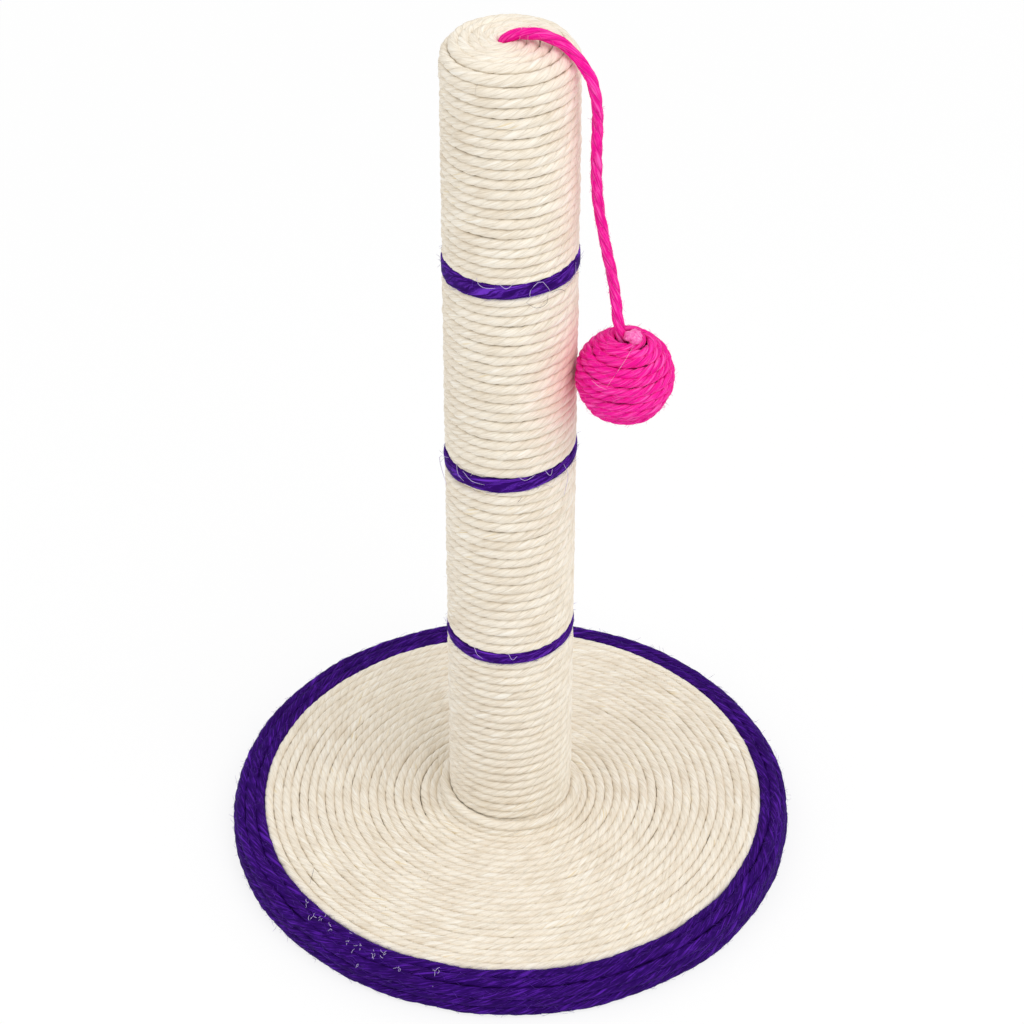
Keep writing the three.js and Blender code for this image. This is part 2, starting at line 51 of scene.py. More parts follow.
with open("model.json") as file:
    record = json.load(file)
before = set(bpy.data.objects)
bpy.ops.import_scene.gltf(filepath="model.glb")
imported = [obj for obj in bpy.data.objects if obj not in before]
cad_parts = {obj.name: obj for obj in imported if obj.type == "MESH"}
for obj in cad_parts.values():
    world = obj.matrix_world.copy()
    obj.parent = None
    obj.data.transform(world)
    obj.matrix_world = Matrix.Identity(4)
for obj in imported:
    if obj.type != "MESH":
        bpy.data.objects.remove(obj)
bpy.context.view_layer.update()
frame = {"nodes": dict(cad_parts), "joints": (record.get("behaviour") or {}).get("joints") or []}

MM = 0.001
TURN = 2 * math.pi


def cad_middle(node):
    """Middle of a node's box at rest."""
    low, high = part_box(node)
    return (low + high) / 2


# ---------------------------------------------------------------- sizes from the frame
BALL = cad_middle("ball_core")  # middle of the ball
PLUG_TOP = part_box("upper_plug")[1].z
BOARD_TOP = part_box("base_board")[1].z
KNOT = cad_middle("toy_knot")
KNOT_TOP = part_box("toy_knot")[1].z
GAP = 0.3 * MM  # between CAD pieces that touch
HEIGHT = PLUG_TOP + 5.5 * MM  # floor to the top of the rope on the post
BAND_HEIGHTS = [cad_middle(f"band_rope_{i}").z for i in (1, 2, 3)]


# ---------------------------------------------------------------- properties
def length_prop(name, size, description):
    """A length of `size` millimetres."""
    return FloatProperty(
        name=name, description=description, default=size * MM, min=0, unit="LENGTH", precision=4
    )


def angle_prop(name, degrees, description):
    """An angle of `degrees`."""
    return FloatProperty(
        name=name, description=description, default=math.radians(degrees), unit="ROTATION"
    )


def linear(code):
    """The linear values of an sRGB hex colour."""
    parts = [int(code[i : i + 2], 16) / 255 for i in (0, 2, 4)]
    return [p / 12.92 if p <= 0.04045 else ((p + 0.055) / 1.055) ** 2.4 for p in parts]


def colour_prop(name, code, description):
    """A colour given as sRGB hex."""
    return FloatVectorProperty(
        name=name, description=description, default=linear(code), subtype="COLOR", min=0, max=1
    )


class RopeSizes(bpy.types.PropertyGroup):
    """Sizes of the ropes on the post and the base."""

    rope: length_prop("Rope", 5.42, "Diameter of the sisal rope")
    lay: length_prop("Lay", 19, "Length in which a strand goes once round the rope")
    post_radius: length_prop("Post radius", 32.7, "To the outside of the rope on the post")
    shoulder: length_prop("Shoulder", 11.5, "Rounding of the rope-covered top edge")
    top_turn: length_prop("Last turn", 5.7, "Radius of the innermost turn on the top")
    base_pitch: length_prop("Base pitch", 4.67, "From turn to turn of the flat spiral")
    base_last: length_prop("Base spiral", 133.9, "Radius at which the cream rope ends")
    rim_pitch: length_prop("Rim pitch", 5.4, "From turn to turn of the purple rope, in front")
    rim_squeeze: length_prop("Squeezed pitch", 5.0, "From turn to turn at the rope ends")
    rim_radius: length_prop("Rim radius", 150, "To the outside of the purple rope")
    foot_bend: length_prop("Foot bend", 5.5, "Radius in which the base rope climbs the post's foot")
    foot_climb: length_prop("Foot climb", 5.28, "How far it climbs above that")
    rim_bend: length_prop("Rim bend", 5, "Radius in which the purple rope rounds the edge")
    rope_end: angle_prop("Rope end", 76, "Where the cream rope ends and the purple begins")


class BandSizes(bpy.types.PropertyGroup):
    """Sizes of the purple bands."""

    height: length_prop("Height", 6.3, "Of the lowest band along the post")
    taller: length_prop("Taller", 1.1, "How much more the next band up spreads")
    proud: length_prop("Proud", 0.35, "How far the band stands out of the rope")
    lay: length_prop("Lay", 64, "Length in which a strand goes once round the band's yarn")


class ToySizes(bpy.types.PropertyGroup):
    """Sizes of the cord and the ball."""

    cord: length_prop("Cord", 5.5, "Diameter of the pink cord")
    cord_lay: length_prop("Cord lay", 31, "Length in which a strand goes once round the cord")
    ball: length_prop("Ball", 48.5, "Diameter of the ball")
    ball_rope: length_prop("Ball rope", 4.7, "Diameter of the rope round the ball")
    ball_turns: IntProperty(name="Turns", description="Of rope round the ball", default=14)
    mouth: angle_prop("Mouth", 12.5, "Half angle of the hole that the cord enters")
    ball_foot: angle_prop("Foot", 7, "Half angle of the winding's end under the ball")
    dab: length_prop("Dab", 8.6, "Width of the dab of dried glue")


class PostColours(bpy.types.PropertyGroup):
    """Colours of the ropes."""

    # Each deep colour is painted shade between the turns and the strands, and it also darkens the
    # darkest streaks.
    cream: colour_prop("Cream", "F3EADA", "Bleached sisal")
    cream_light: colour_prop("Cream, light", "FBF8EF", "Its brightest fibres")
    cream_deep: colour_prop("Cream, deep", "8E7A55", "Between its turns")
    purple: colour_prop("Purple", "2A0060", "Dyed sisal of the rim")
    purple_light: colour_prop("Purple, light", "5A20A8", "Its brightest fibres")
    purple_deep: colour_prop("Purple, deep", "12002C", "Between its turns")
    # Violet and its light colour are the rim's purple made lighter for the bands: painted light.
    violet: colour_prop("Violet", "34006E", "Looser dyed yarn of the bands")
    violet_light: colour_prop("Violet, light", "7034C4", "Its brightest fibres")
    pink: colour_prop("Pink", "F90A9C", "Dyed sisal of the cord and the ball")
    pink_light: colour_prop("Pink, light", "FF62C0", "Its brightest fibres")
    pink_deep: colour_prop("Pink, deep", "A2005A", "Between its turns")


class StudioSizes(bpy.types.PropertyGroup):
    """The camera of the photograph, and the lamps."""

    camera_back: length_prop("Camera distance", 1191.6, "In front of the post")
    camera_height: length_prop("Camera height", 1104.8, "Above the floor")
    camera_pitch: angle_prop("Camera pitch", 36.94, "Below the horizon")
    lens: FloatProperty(name="Lens", description="In mm on a 36 mm sensor", default=104.07)
    shift: FloatProperty(name="Shift", description="Of the view to the side", default=0.0016)
    sky: FloatProperty(name="Fill", description="Strength of the light all round", default=0.79)
    key: FloatProperty(name="Key", description="Power of the large lamp in watts", default=19.5)


# ---------------------------------------------------------------- lines that rope follows
def smooth_random(places, spacing, rng):
    """Random values between -1 and 1 at knots `spacing` apart, joined by smooth steps."""
    t = (places - places[0]) / spacing
    knots = rng.uniform(-1, 1, int(t[-1]) + 3)
    i = t.astype(int)
    f = t - i
    f = f * f * (3 - 2 * f)
    return knots[i] * (1 - f) + knots[i + 1] * f


def straight(start, stop, away):
    """A straight piece of a meridian between two [radius, height] points: its length, and a
    function of the distance along it. `away` points out of the core."""
    start, stop, away = (np.array(p, float) for p in (start, stop, away))
    length = np.linalg.norm(stop - start)

    def at(distance):
        """Points at distances from the start, and the away direction there."""
        share = distance[:, None] / length
        return start + (stop - start) * share, np.broadcast_to(away, (len(distance), 2))

    return length, at


def bend(centre, radius, start, stop, hollow=False):
    """A circular piece of a meridian from angle `start` to `stop`, given as `straight` gives it.
    Away points out of the circle, or into it where the core is hollow there."""
    centre, way = np.array(centre, float), math.copysign(1, stop - start)

    def at(distance):
        """Points at distances from the start, and the away direction there."""
        angle = start + way * distance / radius
        out = np.stack([np.cos(angle), np.sin(angle)], 1)
        return centre + radius * out, -out if hollow else out

    return radius * abs(stop - start), at


def along(pieces, distance):
    """Points and away directions at distances along a meridian of several pieces."""
    points, away = np.zeros((len(distance), 2)), np.zeros((len(distance), 2))
    begin = 0.0
    for k, (length, at) in enumerate(pieces):
        here = distance >= begin if k else np.ones(len(distance), bool)
        p, a = at(distance[here] - begin)
        points[here], away[here] = p, a
        begin += length
    return points, away


def whole_length(pieces):
    """Length of a meridian."""
    return sum(length for length, _ in pieces)


PLACES_A_TURN = 400  # at which the length of a winding is measured


def wound(pieces, turns, first_angle, step, advance=None, centre=(0, 0, 0)):
    """Middle line of a rope wound round the vertical axis through `centre`.

    While the angle grows evenly, the distance along the meridian follows `advance` of the turn,
    or grows evenly too. The points are spread `step` apart along the rope. Returns the points,
    the directions away from the core, the turn at each point, and the pitch there, which is the
    distance that half a turn before and half a turn after it cover."""
    total = whole_length(pieces)
    advance = advance or (lambda turn: turn * total / turns)

    def place(turn):
        """Points and away directions at some turns."""
        p, a = along(pieces, advance(turn))
        angle = first_angle + TURN * turn
        c, s = np.cos(angle), np.sin(angle)
        point = np.stack([p[:, 0] * c, p[:, 0] * s, p[:, 1]], 1)
        return point, np.stack([a[:, 0] * c, a[:, 0] * s, a[:, 1]], 1)

    fine = np.linspace(0, turns, int(turns * PLACES_A_TURN) + 1)
    passed = travelled(place(fine)[0])
    turn = np.interp(np.linspace(0, passed[-1], int(passed[-1] / step) + 1), passed, fine)
    point, away = place(turn)
    pitch = advance(turn + 0.5) - advance(turn - 0.5)
    return point + np.array(centre, float), away, turn, pitch


def travelled(line):
    """Length from the first point of a line to each of its points."""
    return np.concatenate([[0], np.cumsum(np.linalg.norm(np.diff(line, axis=0), axis=1))])


PLACES_BETWEEN = 40  # worked out between two points that a line goes through


def through(points, step):
    """A smooth line through a few points: between two of them runs a cubic whose slopes come from
    their neighbours, weighted by the square root of the distances. Returned `step` apart."""
    p = np.array(points, float)
    p = np.concatenate([[2 * p[0] - p[1]], p, [2 * p[-1] - p[-2]]])
    gap = np.sqrt(np.linalg.norm(np.diff(p, axis=0), axis=1))[:, None]
    a, b, c, d = p[:-3], p[1:-2], p[2:-1], p[3:]
    g, h, k = gap[:-2], gap[1:-1], gap[2:]
    leave = ((b - a) / g - (c - a) / (g + h) + (c - b) / h) * h
    arrive = ((c - b) / h - (d - b) / (h + k) + (d - c) / k) * h
    t = np.linspace(0, 1, PLACES_BETWEEN, endpoint=False)[None, :, None]
    b, c, leave, arrive = (v[:, None, :] for v in (b, c, leave, arrive))
    line = (
        b * (2 * t**3 - 3 * t**2 + 1)
        + leave * (t**3 - 2 * t**2 + t)
        + c * (3 * t**2 - 2 * t**3)
        + arrive * (t**3 - t**2)
    ).reshape(-1, 3)
    line = np.concatenate([line, p[-2:-1]])
    passed = travelled(line)
    places = np.linspace(0, passed[-1], max(int(round(passed[-1] / step)), 2) + 1)
    return np.stack([np.interp(places, passed, line[:, i]) for i in range(3)], 1)


# ---------------------------------------------------------------- surfaces
STRAND_COLUMNS = np.array([-1, -0.8, -0.38, 0, 0.38, 0.8])  # across one strand, valley to crest

# Lengths in which the slow random waves of a rope change.
HEAVE, SWAY = 27 * MM, 19 * MM  # of its line, away from the core and along it
SWELL, LUMP, STRAND_SWELL = 21 * MM, 6 * MM, 13 * MM  # of its thickness and of one strand's
TWIST = 50 * MM  # of its turning
BLUNT = 0.35  # share of its thickness that a rope still has at its ends


def laid_rope(line, away, out, side, lay, seed, strands=3, depth=0.2, wander=0.2, turned=0.0,
              square=1.0, end=6 * MM):
    """Surface of a rope laid from strands, as a grid of rings along the line.

    A ring's radius follows the strands: it falls from the crest of a strand to the valley beside
    it as the height of a half circle does. The ring is stretched to `out` away from the core and
    `side` across, and turns backwards once in each `lay`. Below 1, `square` fills its corners.
    Slow random waves move the line, swell the rope and each strand, and hurry or delay the
    turning; the rope thins over `end` at both ends, as a square root does. Returns the grid, the
    length travelled, and for each point how far it is turned from the outside and how deep it
    lies between strands."""
    rng = np.random.default_rng(seed)
    passed = travelled(line)
    travel = np.gradient(line, axis=0)
    travel /= np.linalg.norm(travel, axis=1, keepdims=True)
    away = away - (away * travel).sum(1, keepdims=True) * travel
    away /= np.linalg.norm(away, axis=1, keepdims=True)
    across = np.cross(travel, away)

    def wave(spacing):
        """A slow random wave along the rope."""
        return smooth_random(passed, spacing, rng)

    line = line + away * (wave(HEAVE) * wander * MM)[:, None]
    line = line + across * (wave(SWAY) * wander * 1.3 * MM)[:, None]
    swell = 1 + 0.03 * wave(SWELL) + 0.02 * wave(LUMP)
    if end:
        nearest = np.minimum(passed, passed[-1] - passed) / end
        swell *= BLUNT + (1 - BLUNT) * np.sqrt(np.clip(nearest, 0, 1))
    lead = 0.5 * wave(TWIST)
    columns = STRAND_COLUMNS / strands * math.pi
    crest = np.sqrt(1 - 0.98 * STRAND_COLUMNS**2)
    spin = turned - TURN * passed / lay + lead
    angles, radii, hollow = [], [], []
    for k in range(strands):
        strand = 1 + 0.06 * wave(STRAND_SWELL)
        angles.append(spin[:, None] + (TURN * k / strands + columns)[None, :])
        radii.append((strand * swell)[:, None] * (1 - depth * (1 - crest))[None, :])
        hollow.append(np.broadcast_to(1 - crest, (len(line), len(columns))))
    angle, radius = np.concatenate(angles, 1), np.concatenate(radii, 1)
    c, s = np.cos(angle), np.sin(angle)
    out, side = (np.broadcast_to(v, len(line))[:, None] for v in (out, side))
    grid = (
        line[:, None, :]
        + (radius * out * np.sign(c) * np.abs(c) ** square)[:, :, None] * away[:, None, :]
        + (radius * side * np.sign(s) * np.abs(s) ** square)[:, :, None] * across[:, None, :]
    )
    return grid, passed, 1 - c, np.concatenate(hollow, 1)


def smooth_mesh(name, points, faces_of_four, extra_faces=(), values=None, uv=None):
    """A smooth mesh from an array of points and an array of four-cornered faces, with any closing
    faces as lists. `values` are numbers per point and `uv` one pair per corner of the fours."""
    mesh = bpy.data.meshes.new(name)
    closing = [np.array(face) for face in extra_faces]
    corners = np.concatenate([faces_of_four.ravel(), *closing]).astype(int)
    sizes = [4] * len(faces_of_four) + [len(f) for f in extra_faces]
    mesh.vertices.add(len(points))
    mesh.vertices.foreach_set("co", points.astype(np.float32).ravel())
    mesh.loops.add(len(corners))
    mesh.loops.foreach_set("vertex_index", corners)
    mesh.polygons.add(len(sizes))
    mesh.polygons.foreach_set("loop_start", np.concatenate([[0], np.cumsum(sizes)[:-1]]))
    mesh.polygons.foreach_set("use_smooth", np.ones(len(sizes), bool))
    if uv is not None:
        pairs = np.zeros((len(corners), 2), np.float32)
        pairs[: len(uv)] = uv
        mesh.uv_layers.new(name="rope").data.foreach_set("uv", pairs.ravel())
    for title, numbers in (values or {}).items():
        layer = mesh.attributes.new(title, "FLOAT", "POINT")
        layer.data.foreach_set("value", numbers.astype(np.float32).ravel())
    mesh.update(calc_edges=True)
    thing = bpy.data.objects.new(name, mesh)
    bpy.context.scene.collection.objects.link(thing)
    return thing


def ring_faces(rings, columns):
    """The four corners of each face between neighbouring rings of points, as each ring closes on
    itself, and the ring and the column where the face begins."""
    i, j = np.meshgrid(np.arange(rings - 1), np.arange(columns), indexing="ij")
    k = (j + 1) % columns
    corners = [i * columns + j, i * columns + k, (i + 1) * columns + k, (i + 1) * columns + j]
    return np.stack(corners, -1).reshape(-1, 4), i, j


def tube_mesh(name, grid, passed, **values):
    """A closed tube from a grid of rings: its columns join round, and a face closes each end.
    Its UV map is the share round the ring and the metres along the rope."""
    rings, columns = grid.shape[:2]
    fours, i, j = ring_faces(rings, columns)
    u = np.stack([j, j + 1, j + 1, j], -1) / columns
    v = np.stack([passed[i], passed[i], passed[i + 1], passed[i + 1]], -1)
    last = (rings - 1) * columns
    ends = [list(range(columns - 1, -1, -1)), list(range(last, last + columns))]
    uv = np.stack([u.reshape(-1), v.reshape(-1)], 1)
    return smooth_mesh(name, grid.reshape(-1, 3), fours, ends, values, uv)


def rope_piece(name, rope, first=0, last=None, **values):
    """A mesh of the rings `first` to `last` of a laid rope, with numbers for its material."""
    grid, passed, groove, hollow = rope
    part = slice(first, None if last is None else last + 1)
    values = {"groove": groove, "hollow": hollow, **values}
    return tube_mesh(name, grid[part], passed[part], **{k: v[part] for k, v in values.items()})


def hair_mesh(name, lines, thickness):
    """Thin closed tubes of three sides along lines of equally many points, narrowing to their
    tips as the root of a sine does."""
    sides = 3
    lines = np.array(lines, float)
    count, points = lines.shape[:2]
    travel = np.gradient(lines, axis=1)
    travel /= np.linalg.norm(travel, axis=2, keepdims=True)
    helper = np.where(np.abs(travel[..., 2:]) < 0.8, [[[0, 0, 1.0]]], [[[1.0, 0, 0]]])
    a = np.cross(travel, helper)
    a /= np.linalg.norm(a, axis=2, keepdims=True)
    b = np.cross(travel, a)
    narrow = np.sqrt(np.sin(np.linspace(0.12, 0.9, points) * math.pi))[None, :, None, None]
    angle = np.arange(sides) * TURN / sides
    ring = a[:, :, None] * np.cos(angle)[:, None] + b[:, :, None] * np.sin(angle)[:, None]
    grid = lines[:, :, None] + ring * narrow * thickness / 2
    base = np.arange(count)[:, None, None] * points * sides
    fours = (base + ring_faces(points, sides)[0]).reshape(-1, 4)
    start, stop = np.arange(sides)[::-1], np.arange(sides) + (points - 1) * sides
    ends = [list(n * points * sides + e) for n in range(count) for e in (start, stop)]
    return smooth_mesh(name, grid.reshape(-1, 3), fours, ends)


FACING = 0.75  # hairs start where a rope's skin is turned less than this from its outside
HAIR_POINTS = 6


def fuzz_lines(rope, count, reach, lift, seed, first=0, last=None):
    """Random hairs that leave a rope's skin: each starts at a point of the grid that faces
    outwards, runs along the rope up to `reach` mm, rises by `lift` times its length and falls
    back as the square of the way, and curls sideways."""
    grid, _, groove, _ = rope
    rng = np.random.default_rng(seed)
    last = len(grid) - 2 if last is None else last
    rows, columns = np.nonzero(groove[first : last + 1] < FACING)
    pick = rng.integers(0, len(rows), count)
    i, j = rows[pick] + first, columns[pick]
    root, middle = grid[i, j], grid[i].mean(1)
    normal = root - middle
    normal /= np.linalg.norm(normal, axis=1, keepdims=True)
    travel = grid[np.minimum(i + 3, len(grid) - 1)].mean(1) - middle
    travel /= np.linalg.norm(travel, axis=1, keepdims=True)
    aside = np.cross(travel, normal)
    size = rng.uniform(0.4, 1, count)[:, None] * reach * MM
    way = rng.choice([-1, 1], count)[:, None] * rng.uniform(0.4, 1, count)[:, None]
    up = rng.uniform(0.3, 1, count)[:, None] * lift
    bow, drift = rng.normal(0, 0.5, (2, count, 1))
    t = np.linspace(0, 1, HAIR_POINTS)[:, None, None]
    lines = root + size * (
        way * t * travel
        + up * (t - (0.4 + 0.5 * bow) * t**2) * normal
        + (drift * t + bow * t**2) * aside * 0.6
    )
    lines[..., 2] = np.maximum(lines[..., 2], 0.2 * MM)  # none reaches through the floor
    return lines.transpose(1, 0, 2)


# ---------------------------------------------------------------- materials
def add(tree, kind, inputs=None, stops=(), **settings):
    """Adds a node. Each input, by its name or number, takes a number, a vector, a linear colour,
    or what feeds it: an output, or a node for that node's first output. `stops` are the places
    and colours of a colour ramp."""
    node = tree.nodes.new("ShaderNode" + kind)
    for key, value in settings.items():
        setattr(node, key, value)
    for key, value in (inputs or {}).items():
        socket = node.inputs[key]
        if isinstance(value, bpy.types.Node):
            value = value.outputs[0]
        if isinstance(value, bpy.types.NodeSocket):
            tree.links.new(value, socket)
        else:
            socket.default_value = (*value, 1) if socket.type == "RGBA" else value
    for number, (place, colour) in enumerate(stops):
        elements = node.color_ramp.elements
        element = elements[number] if number < len(elements) else elements.new(place)
        element.position, element.color = place, (*colour, 1)
    return node


def new_material(name):
    """An empty material and its node tree."""
    material = bpy.data.materials.new(name)
    material.use_nodes = True
    material.node_tree.nodes.clear()
    return material, material.node_tree


FIBRE = 0.55 * MM  # real sisal fibres are 0.2 mm; bundles of them are what the picture can show
FIBRE_RUN = 8 * MM  # length of a streak
PATCH_RUN = 25 * MM  # length in which a rope's shade changes
ROPE_RADIUS = 2.7 * MM
DUSTY = (0.91, 0.88, 0.84)  # what the greyest stretches of a rope are multiplied by
SMOOTH = {"interpolation_type": "SMOOTHSTEP"}


def sisal(name, base, light, deep, lay, roughness=0.8, sheen=0.1, gloss=0.2, contrast=1.0,
          gap=0.75, valley=0.32, fleck=None, painted_bounce_tint=None):
    """Laid sisal: hard plant fibre, combed and twisted, so the eye sees matt streaks that run
    across the strands at half their slope, bright loose bundles, painted shade in the valleys
    between strands and, here and there, painted shade in the gaps between turns.

    The streaks are noise on a helix: the share round the rope, turned back once in each `lay`,
    bent to a circle of as many fibres as the rope has, and the length along it."""
    material, tree = new_material(name)
    split = add(tree, "SeparateXYZ", {0: add(tree, "UVMap", uv_map="rope")})
    around, run = split.outputs[0], split.outputs[1]
    back = add(tree, "Math", {0: run, 1: -0.45 * TURN / lay}, operation="MULTIPLY")
    angle = add(tree, "Math", {0: around, 1: TURN, 2: back}, operation="MULTIPLY_ADD")
    streak = add(tree, "Math", {0: run, 1: FIBRE_RUN}, operation="DIVIDE")
    place = add(tree, "CombineXYZ", {2: streak})
    for axis, wave in enumerate(("COSINE", "SINE")):
        bent = add(tree, "Math", {0: angle}, operation=wave)
        fibre = add(tree, "Math", {0: bent, 1: ROPE_RADIUS / FIBRE}, operation="MULTIPLY")
        tree.links.new(fibre.outputs[0], place.inputs[axis])
    patch = add(tree, "Math", {0: run, 1: 1 / PATCH_RUN}, operation="MULTIPLY")
    patch_place = add(tree, "CombineXYZ", {2: patch})
    fibres = add(tree, "TexNoise", {"Vector": place, "Scale": 1, "Detail": 4, "Roughness": 0.62})
    tufts = add(tree, "TexNoise", {"Vector": place, "Scale": 0.33, "Detail": 1})
    slow = add(tree, "TexNoise", {"Vector": patch_place, "Scale": 1, "Detail": 2})
    low = [b + (d - b) * 0.3 * contrast for b, d in zip(base, deep)]
    high = [b + (h - b) * min(1, 0.8 * contrast) for b, h in zip(base, light)]
    streaks = add(tree, "ValToRGB", {"Fac": fibres}, ((0.30, low), (0.5, base), (0.70, high)))
    dust = add(tree, "ValToRGB", {"Fac": slow}, ((0.35, DUSTY), (0.6, (1, 1, 1))))
    dusted = add(tree, "Mix", {0: 1, 6: streaks, 7: dust}, data_type="RGBA", blend_type="MULTIPLY")
    # Each change of colour grows from one value, its input 1, to another, its input 2, up to the
    # strength in its input 4.
    tufted = add(tree, "MapRange", {0: tufts, 1: 0.62, 2: 0.74, 4: 0.6 * contrast}, **SMOOTH)
    layers = [(tufted, light)]
    if fleck:
        spots = add(tree, "TexNoise", {"Vector": place, "Scale": 0.6, "Detail": 1})
        spotted = add(tree, "MapRange", {0: spots, 1: 0.6, 2: 0.7, 4: 0.55}, **SMOOTH)
        patchy = add(tree, "MapRange", {0: slow, 1: 0.52, 2: 0.62, 4: 1}, **SMOOTH)
        layers.append((add(tree, "Math", {0: spotted, 1: patchy}, operation="MULTIPLY"), fleck))
    # Painted shade: the deep colour goes where the skin turns in towards the next turn, in patches
    # along the rope, and into the valleys between strands.
    groove = add(tree, "Attribute", attribute_name="groove").outputs["Fac"]
    hollow = add(tree, "Attribute", attribute_name="hollow").outputs["Fac"]
    in_groove = add(tree, "MapRange", {0: groove, 1: 0.55, 2: 0.95, 4: 1}, **SMOOTH)
    gap_shade_patches = add(tree, "MapRange", {0: slow, 1: 0.46, 2: 0.62, 4: gap}, **SMOOTH)
    gap_shade_strength = add(tree, "Math", {0: gap_shade_patches, 1: 0.2}, operation="ADD")
    gap_shade = add(tree, "Math", {0: in_groove, 1: gap_shade_strength}, operation="MULTIPLY")
    valley_shade = add(tree, "MapRange", {0: hollow, 1: 0.4, 2: 1, 4: valley}, **SMOOTH)
    layers.append((add(tree, "Math", {0: gap_shade, 1: valley_shade}, operation="MAXIMUM"), deep))
    # Painted pink bounce light, where the toy throws pink light on the post.
    if painted_bounce_tint:
        rubbed = add(tree, "Attribute", attribute_name="rubbed").outputs["Fac"]
        layers.append((rubbed, painted_bounce_tint))
    colour = dusted.outputs[2]
    for share, over in layers:
        mix = add(tree, "Mix", {0: share, 6: colour, 7: over}, data_type="RGBA")
        colour = mix.outputs[2]
    bump = add(tree, "Bump", {"Strength": 0.6, "Distance": 0.4 * MM, "Height": fibres})
    finish = {"Roughness": roughness, "Specular IOR Level": gloss, "Sheen Weight": sheen}
    shader = add(tree, "BsdfPrincipled",
                 {"Base Color": colour, "Normal": bump, "Sheen Roughness": 0.5, **finish})
    add(tree, "OutputMaterial", {"Surface": shader})
    return material


# Each rope's material: its three colours among the settings, its lay in mm, and its finish,
# which also holds the strengths of its painted shade and any painted pink bounce tint.
ROPE_MATERIALS = {
    # bleached sisal of the post and the base: pale and matt, with straw flecks, painted shade
    # between its turns and strands, and painted pink bounce light near the ball and the cord
    "bleached_sisal": (
        ("cream", "cream_light", "cream_deep"), 19,
        {"gap": 0.85, "valley": 0.13, "fleck": linear("E2CB97"), "painted_bounce_tint": linear("F8C2B8")},
    ),
    # dyed sisal of the rim: dark all through, with hardly any gloss
    "purple_dyed_sisal": (
        ("purple", "purple_light", "purple_deep"), 30,
        {"roughness": 0.75, "sheen": 0, "gloss": 0.08, "contrast": 1.4, "gap": 0.4},
    ),
    # looser dyed yarn of the bands, less twisted, so more of its fibres stand out as bright
    # streaks; its colours are the rim's purple made lighter, which is painted light
    "violet_sisal_yarn": (
        ("violet", "violet_light", "purple_deep"), 60,
        {"roughness": 0.75, "sheen": 0, "gloss": 0.08, "contrast": 1.7, "gap": 0.5},
    ),
    # dyed sisal of the cord and the ball: bright, with deep valleys between its strands, made
    # darker still by painted shade
    "pink_dyed_sisal": (
        ("pink", "pink_light", "pink_deep"), 30,
        {"roughness": 0.7, "sheen": 0, "gloss": 0.12, "contrast": 1.4, "gap": 0.7, "valley": 0.5},
    ),
}


def rope_material(name):
    """The material of that name, made the first time it is asked for."""
    made = bpy.data.materials.get(name)
    if made is None:
        colours, lay, finish = ROPE_MATERIALS[name]
        chosen = [tuple(getattr(bpy.context.scene.post_colours, colour)) for colour in colours]
        made = sisal(name, *chosen, lay * MM, **finish)
    return made


def hair_material(name, colour):
    """Loose sisal fibre: thin, a little shiny, uneven in tint, and lighter than its rope."""
    material, tree = new_material(name)
    place = add(tree, "TexCoord").outputs["Object"]
    noise = add(tree, "TexNoise", {"Vector": place, "Scale": 0.3 / MM, "Detail": 1})
    dull = [0.8 * c for c in colour]
    tint = add(tree, "ValToRGB", {"Fac": noise}, ((0.35, dull), (0.65, colour)))
    finish = {"Base Color": tint, "Roughness": 0.5, "Specular IOR Level": 0.4}
    add(tree, "OutputMaterial", {"Surface": add(tree, "BsdfPrincipled", finish)})
    return material


def grainy(name, low, high, fineness, stretch=(1, 1, 1), roughness=0.8, metallic=0, bump=0.3,
           depth=0.2):
    """A solid material between two hex colours. Its tint and its relief follow one noise, with
    `fineness` patches to the millimetre, stretched along an axis for wood grain or paper."""
    material, tree = new_material(name)
    place = add(tree, "TexCoord").outputs["Object"]
    turned = add(tree, "Mapping", {"Vector": place, "Scale": stretch})
    noise = add(tree, "TexNoise", {"Vector": turned, "Scale": fineness / MM, "Detail": 5})
    tint = add(tree, "ValToRGB", {"Fac": noise}, ((0.35, linear(low)), (0.65, linear(high))))
    relief = add(tree, "Bump", {"Strength": bump, "Distance": depth * MM, "Height": noise})
    finish = {"Base Color": tint, "Roughness": roughness, "Metallic": metallic, "Normal": relief}
    add(tree, "OutputMaterial", {"Surface": add(tree, "BsdfPrincipled", finish)})
    return material


def dress(thing, material, body, slot, *nodes):
    """Gives a new piece its material and its body, and hides the nodes that it replaces; its slot
    is not used.
    """
    thing.data.materials.append(material)
    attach(thing, body)
    if nodes:
        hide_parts(*nodes)
    return thing


# ---------------------------------------------------------------- pieces
STEP = 1.05 * MM  # between the rings of the thick ropes
FINE_STEP = 0.8 * MM  # between the rings of the bands, the cord and the ball's rope
PIECE_RINGS = 5200  # keeps a piece under 200,000 triangles
BACK = math.radians(100)  # side of the post on which its rope and the bands end
ROPE_LEVEL = BOARD_TOP + GAP  # on which the base rope and the post's rope lie
ropes = {}  # the laid ropes, which the loose fibres start from

FASTENERS = (
    "base_bolt", "base_washer", "tee_nut",
    *[f"{row}_nail_{i}" for row in ("lower", "upper") for i in (1, 2, 3)],
)


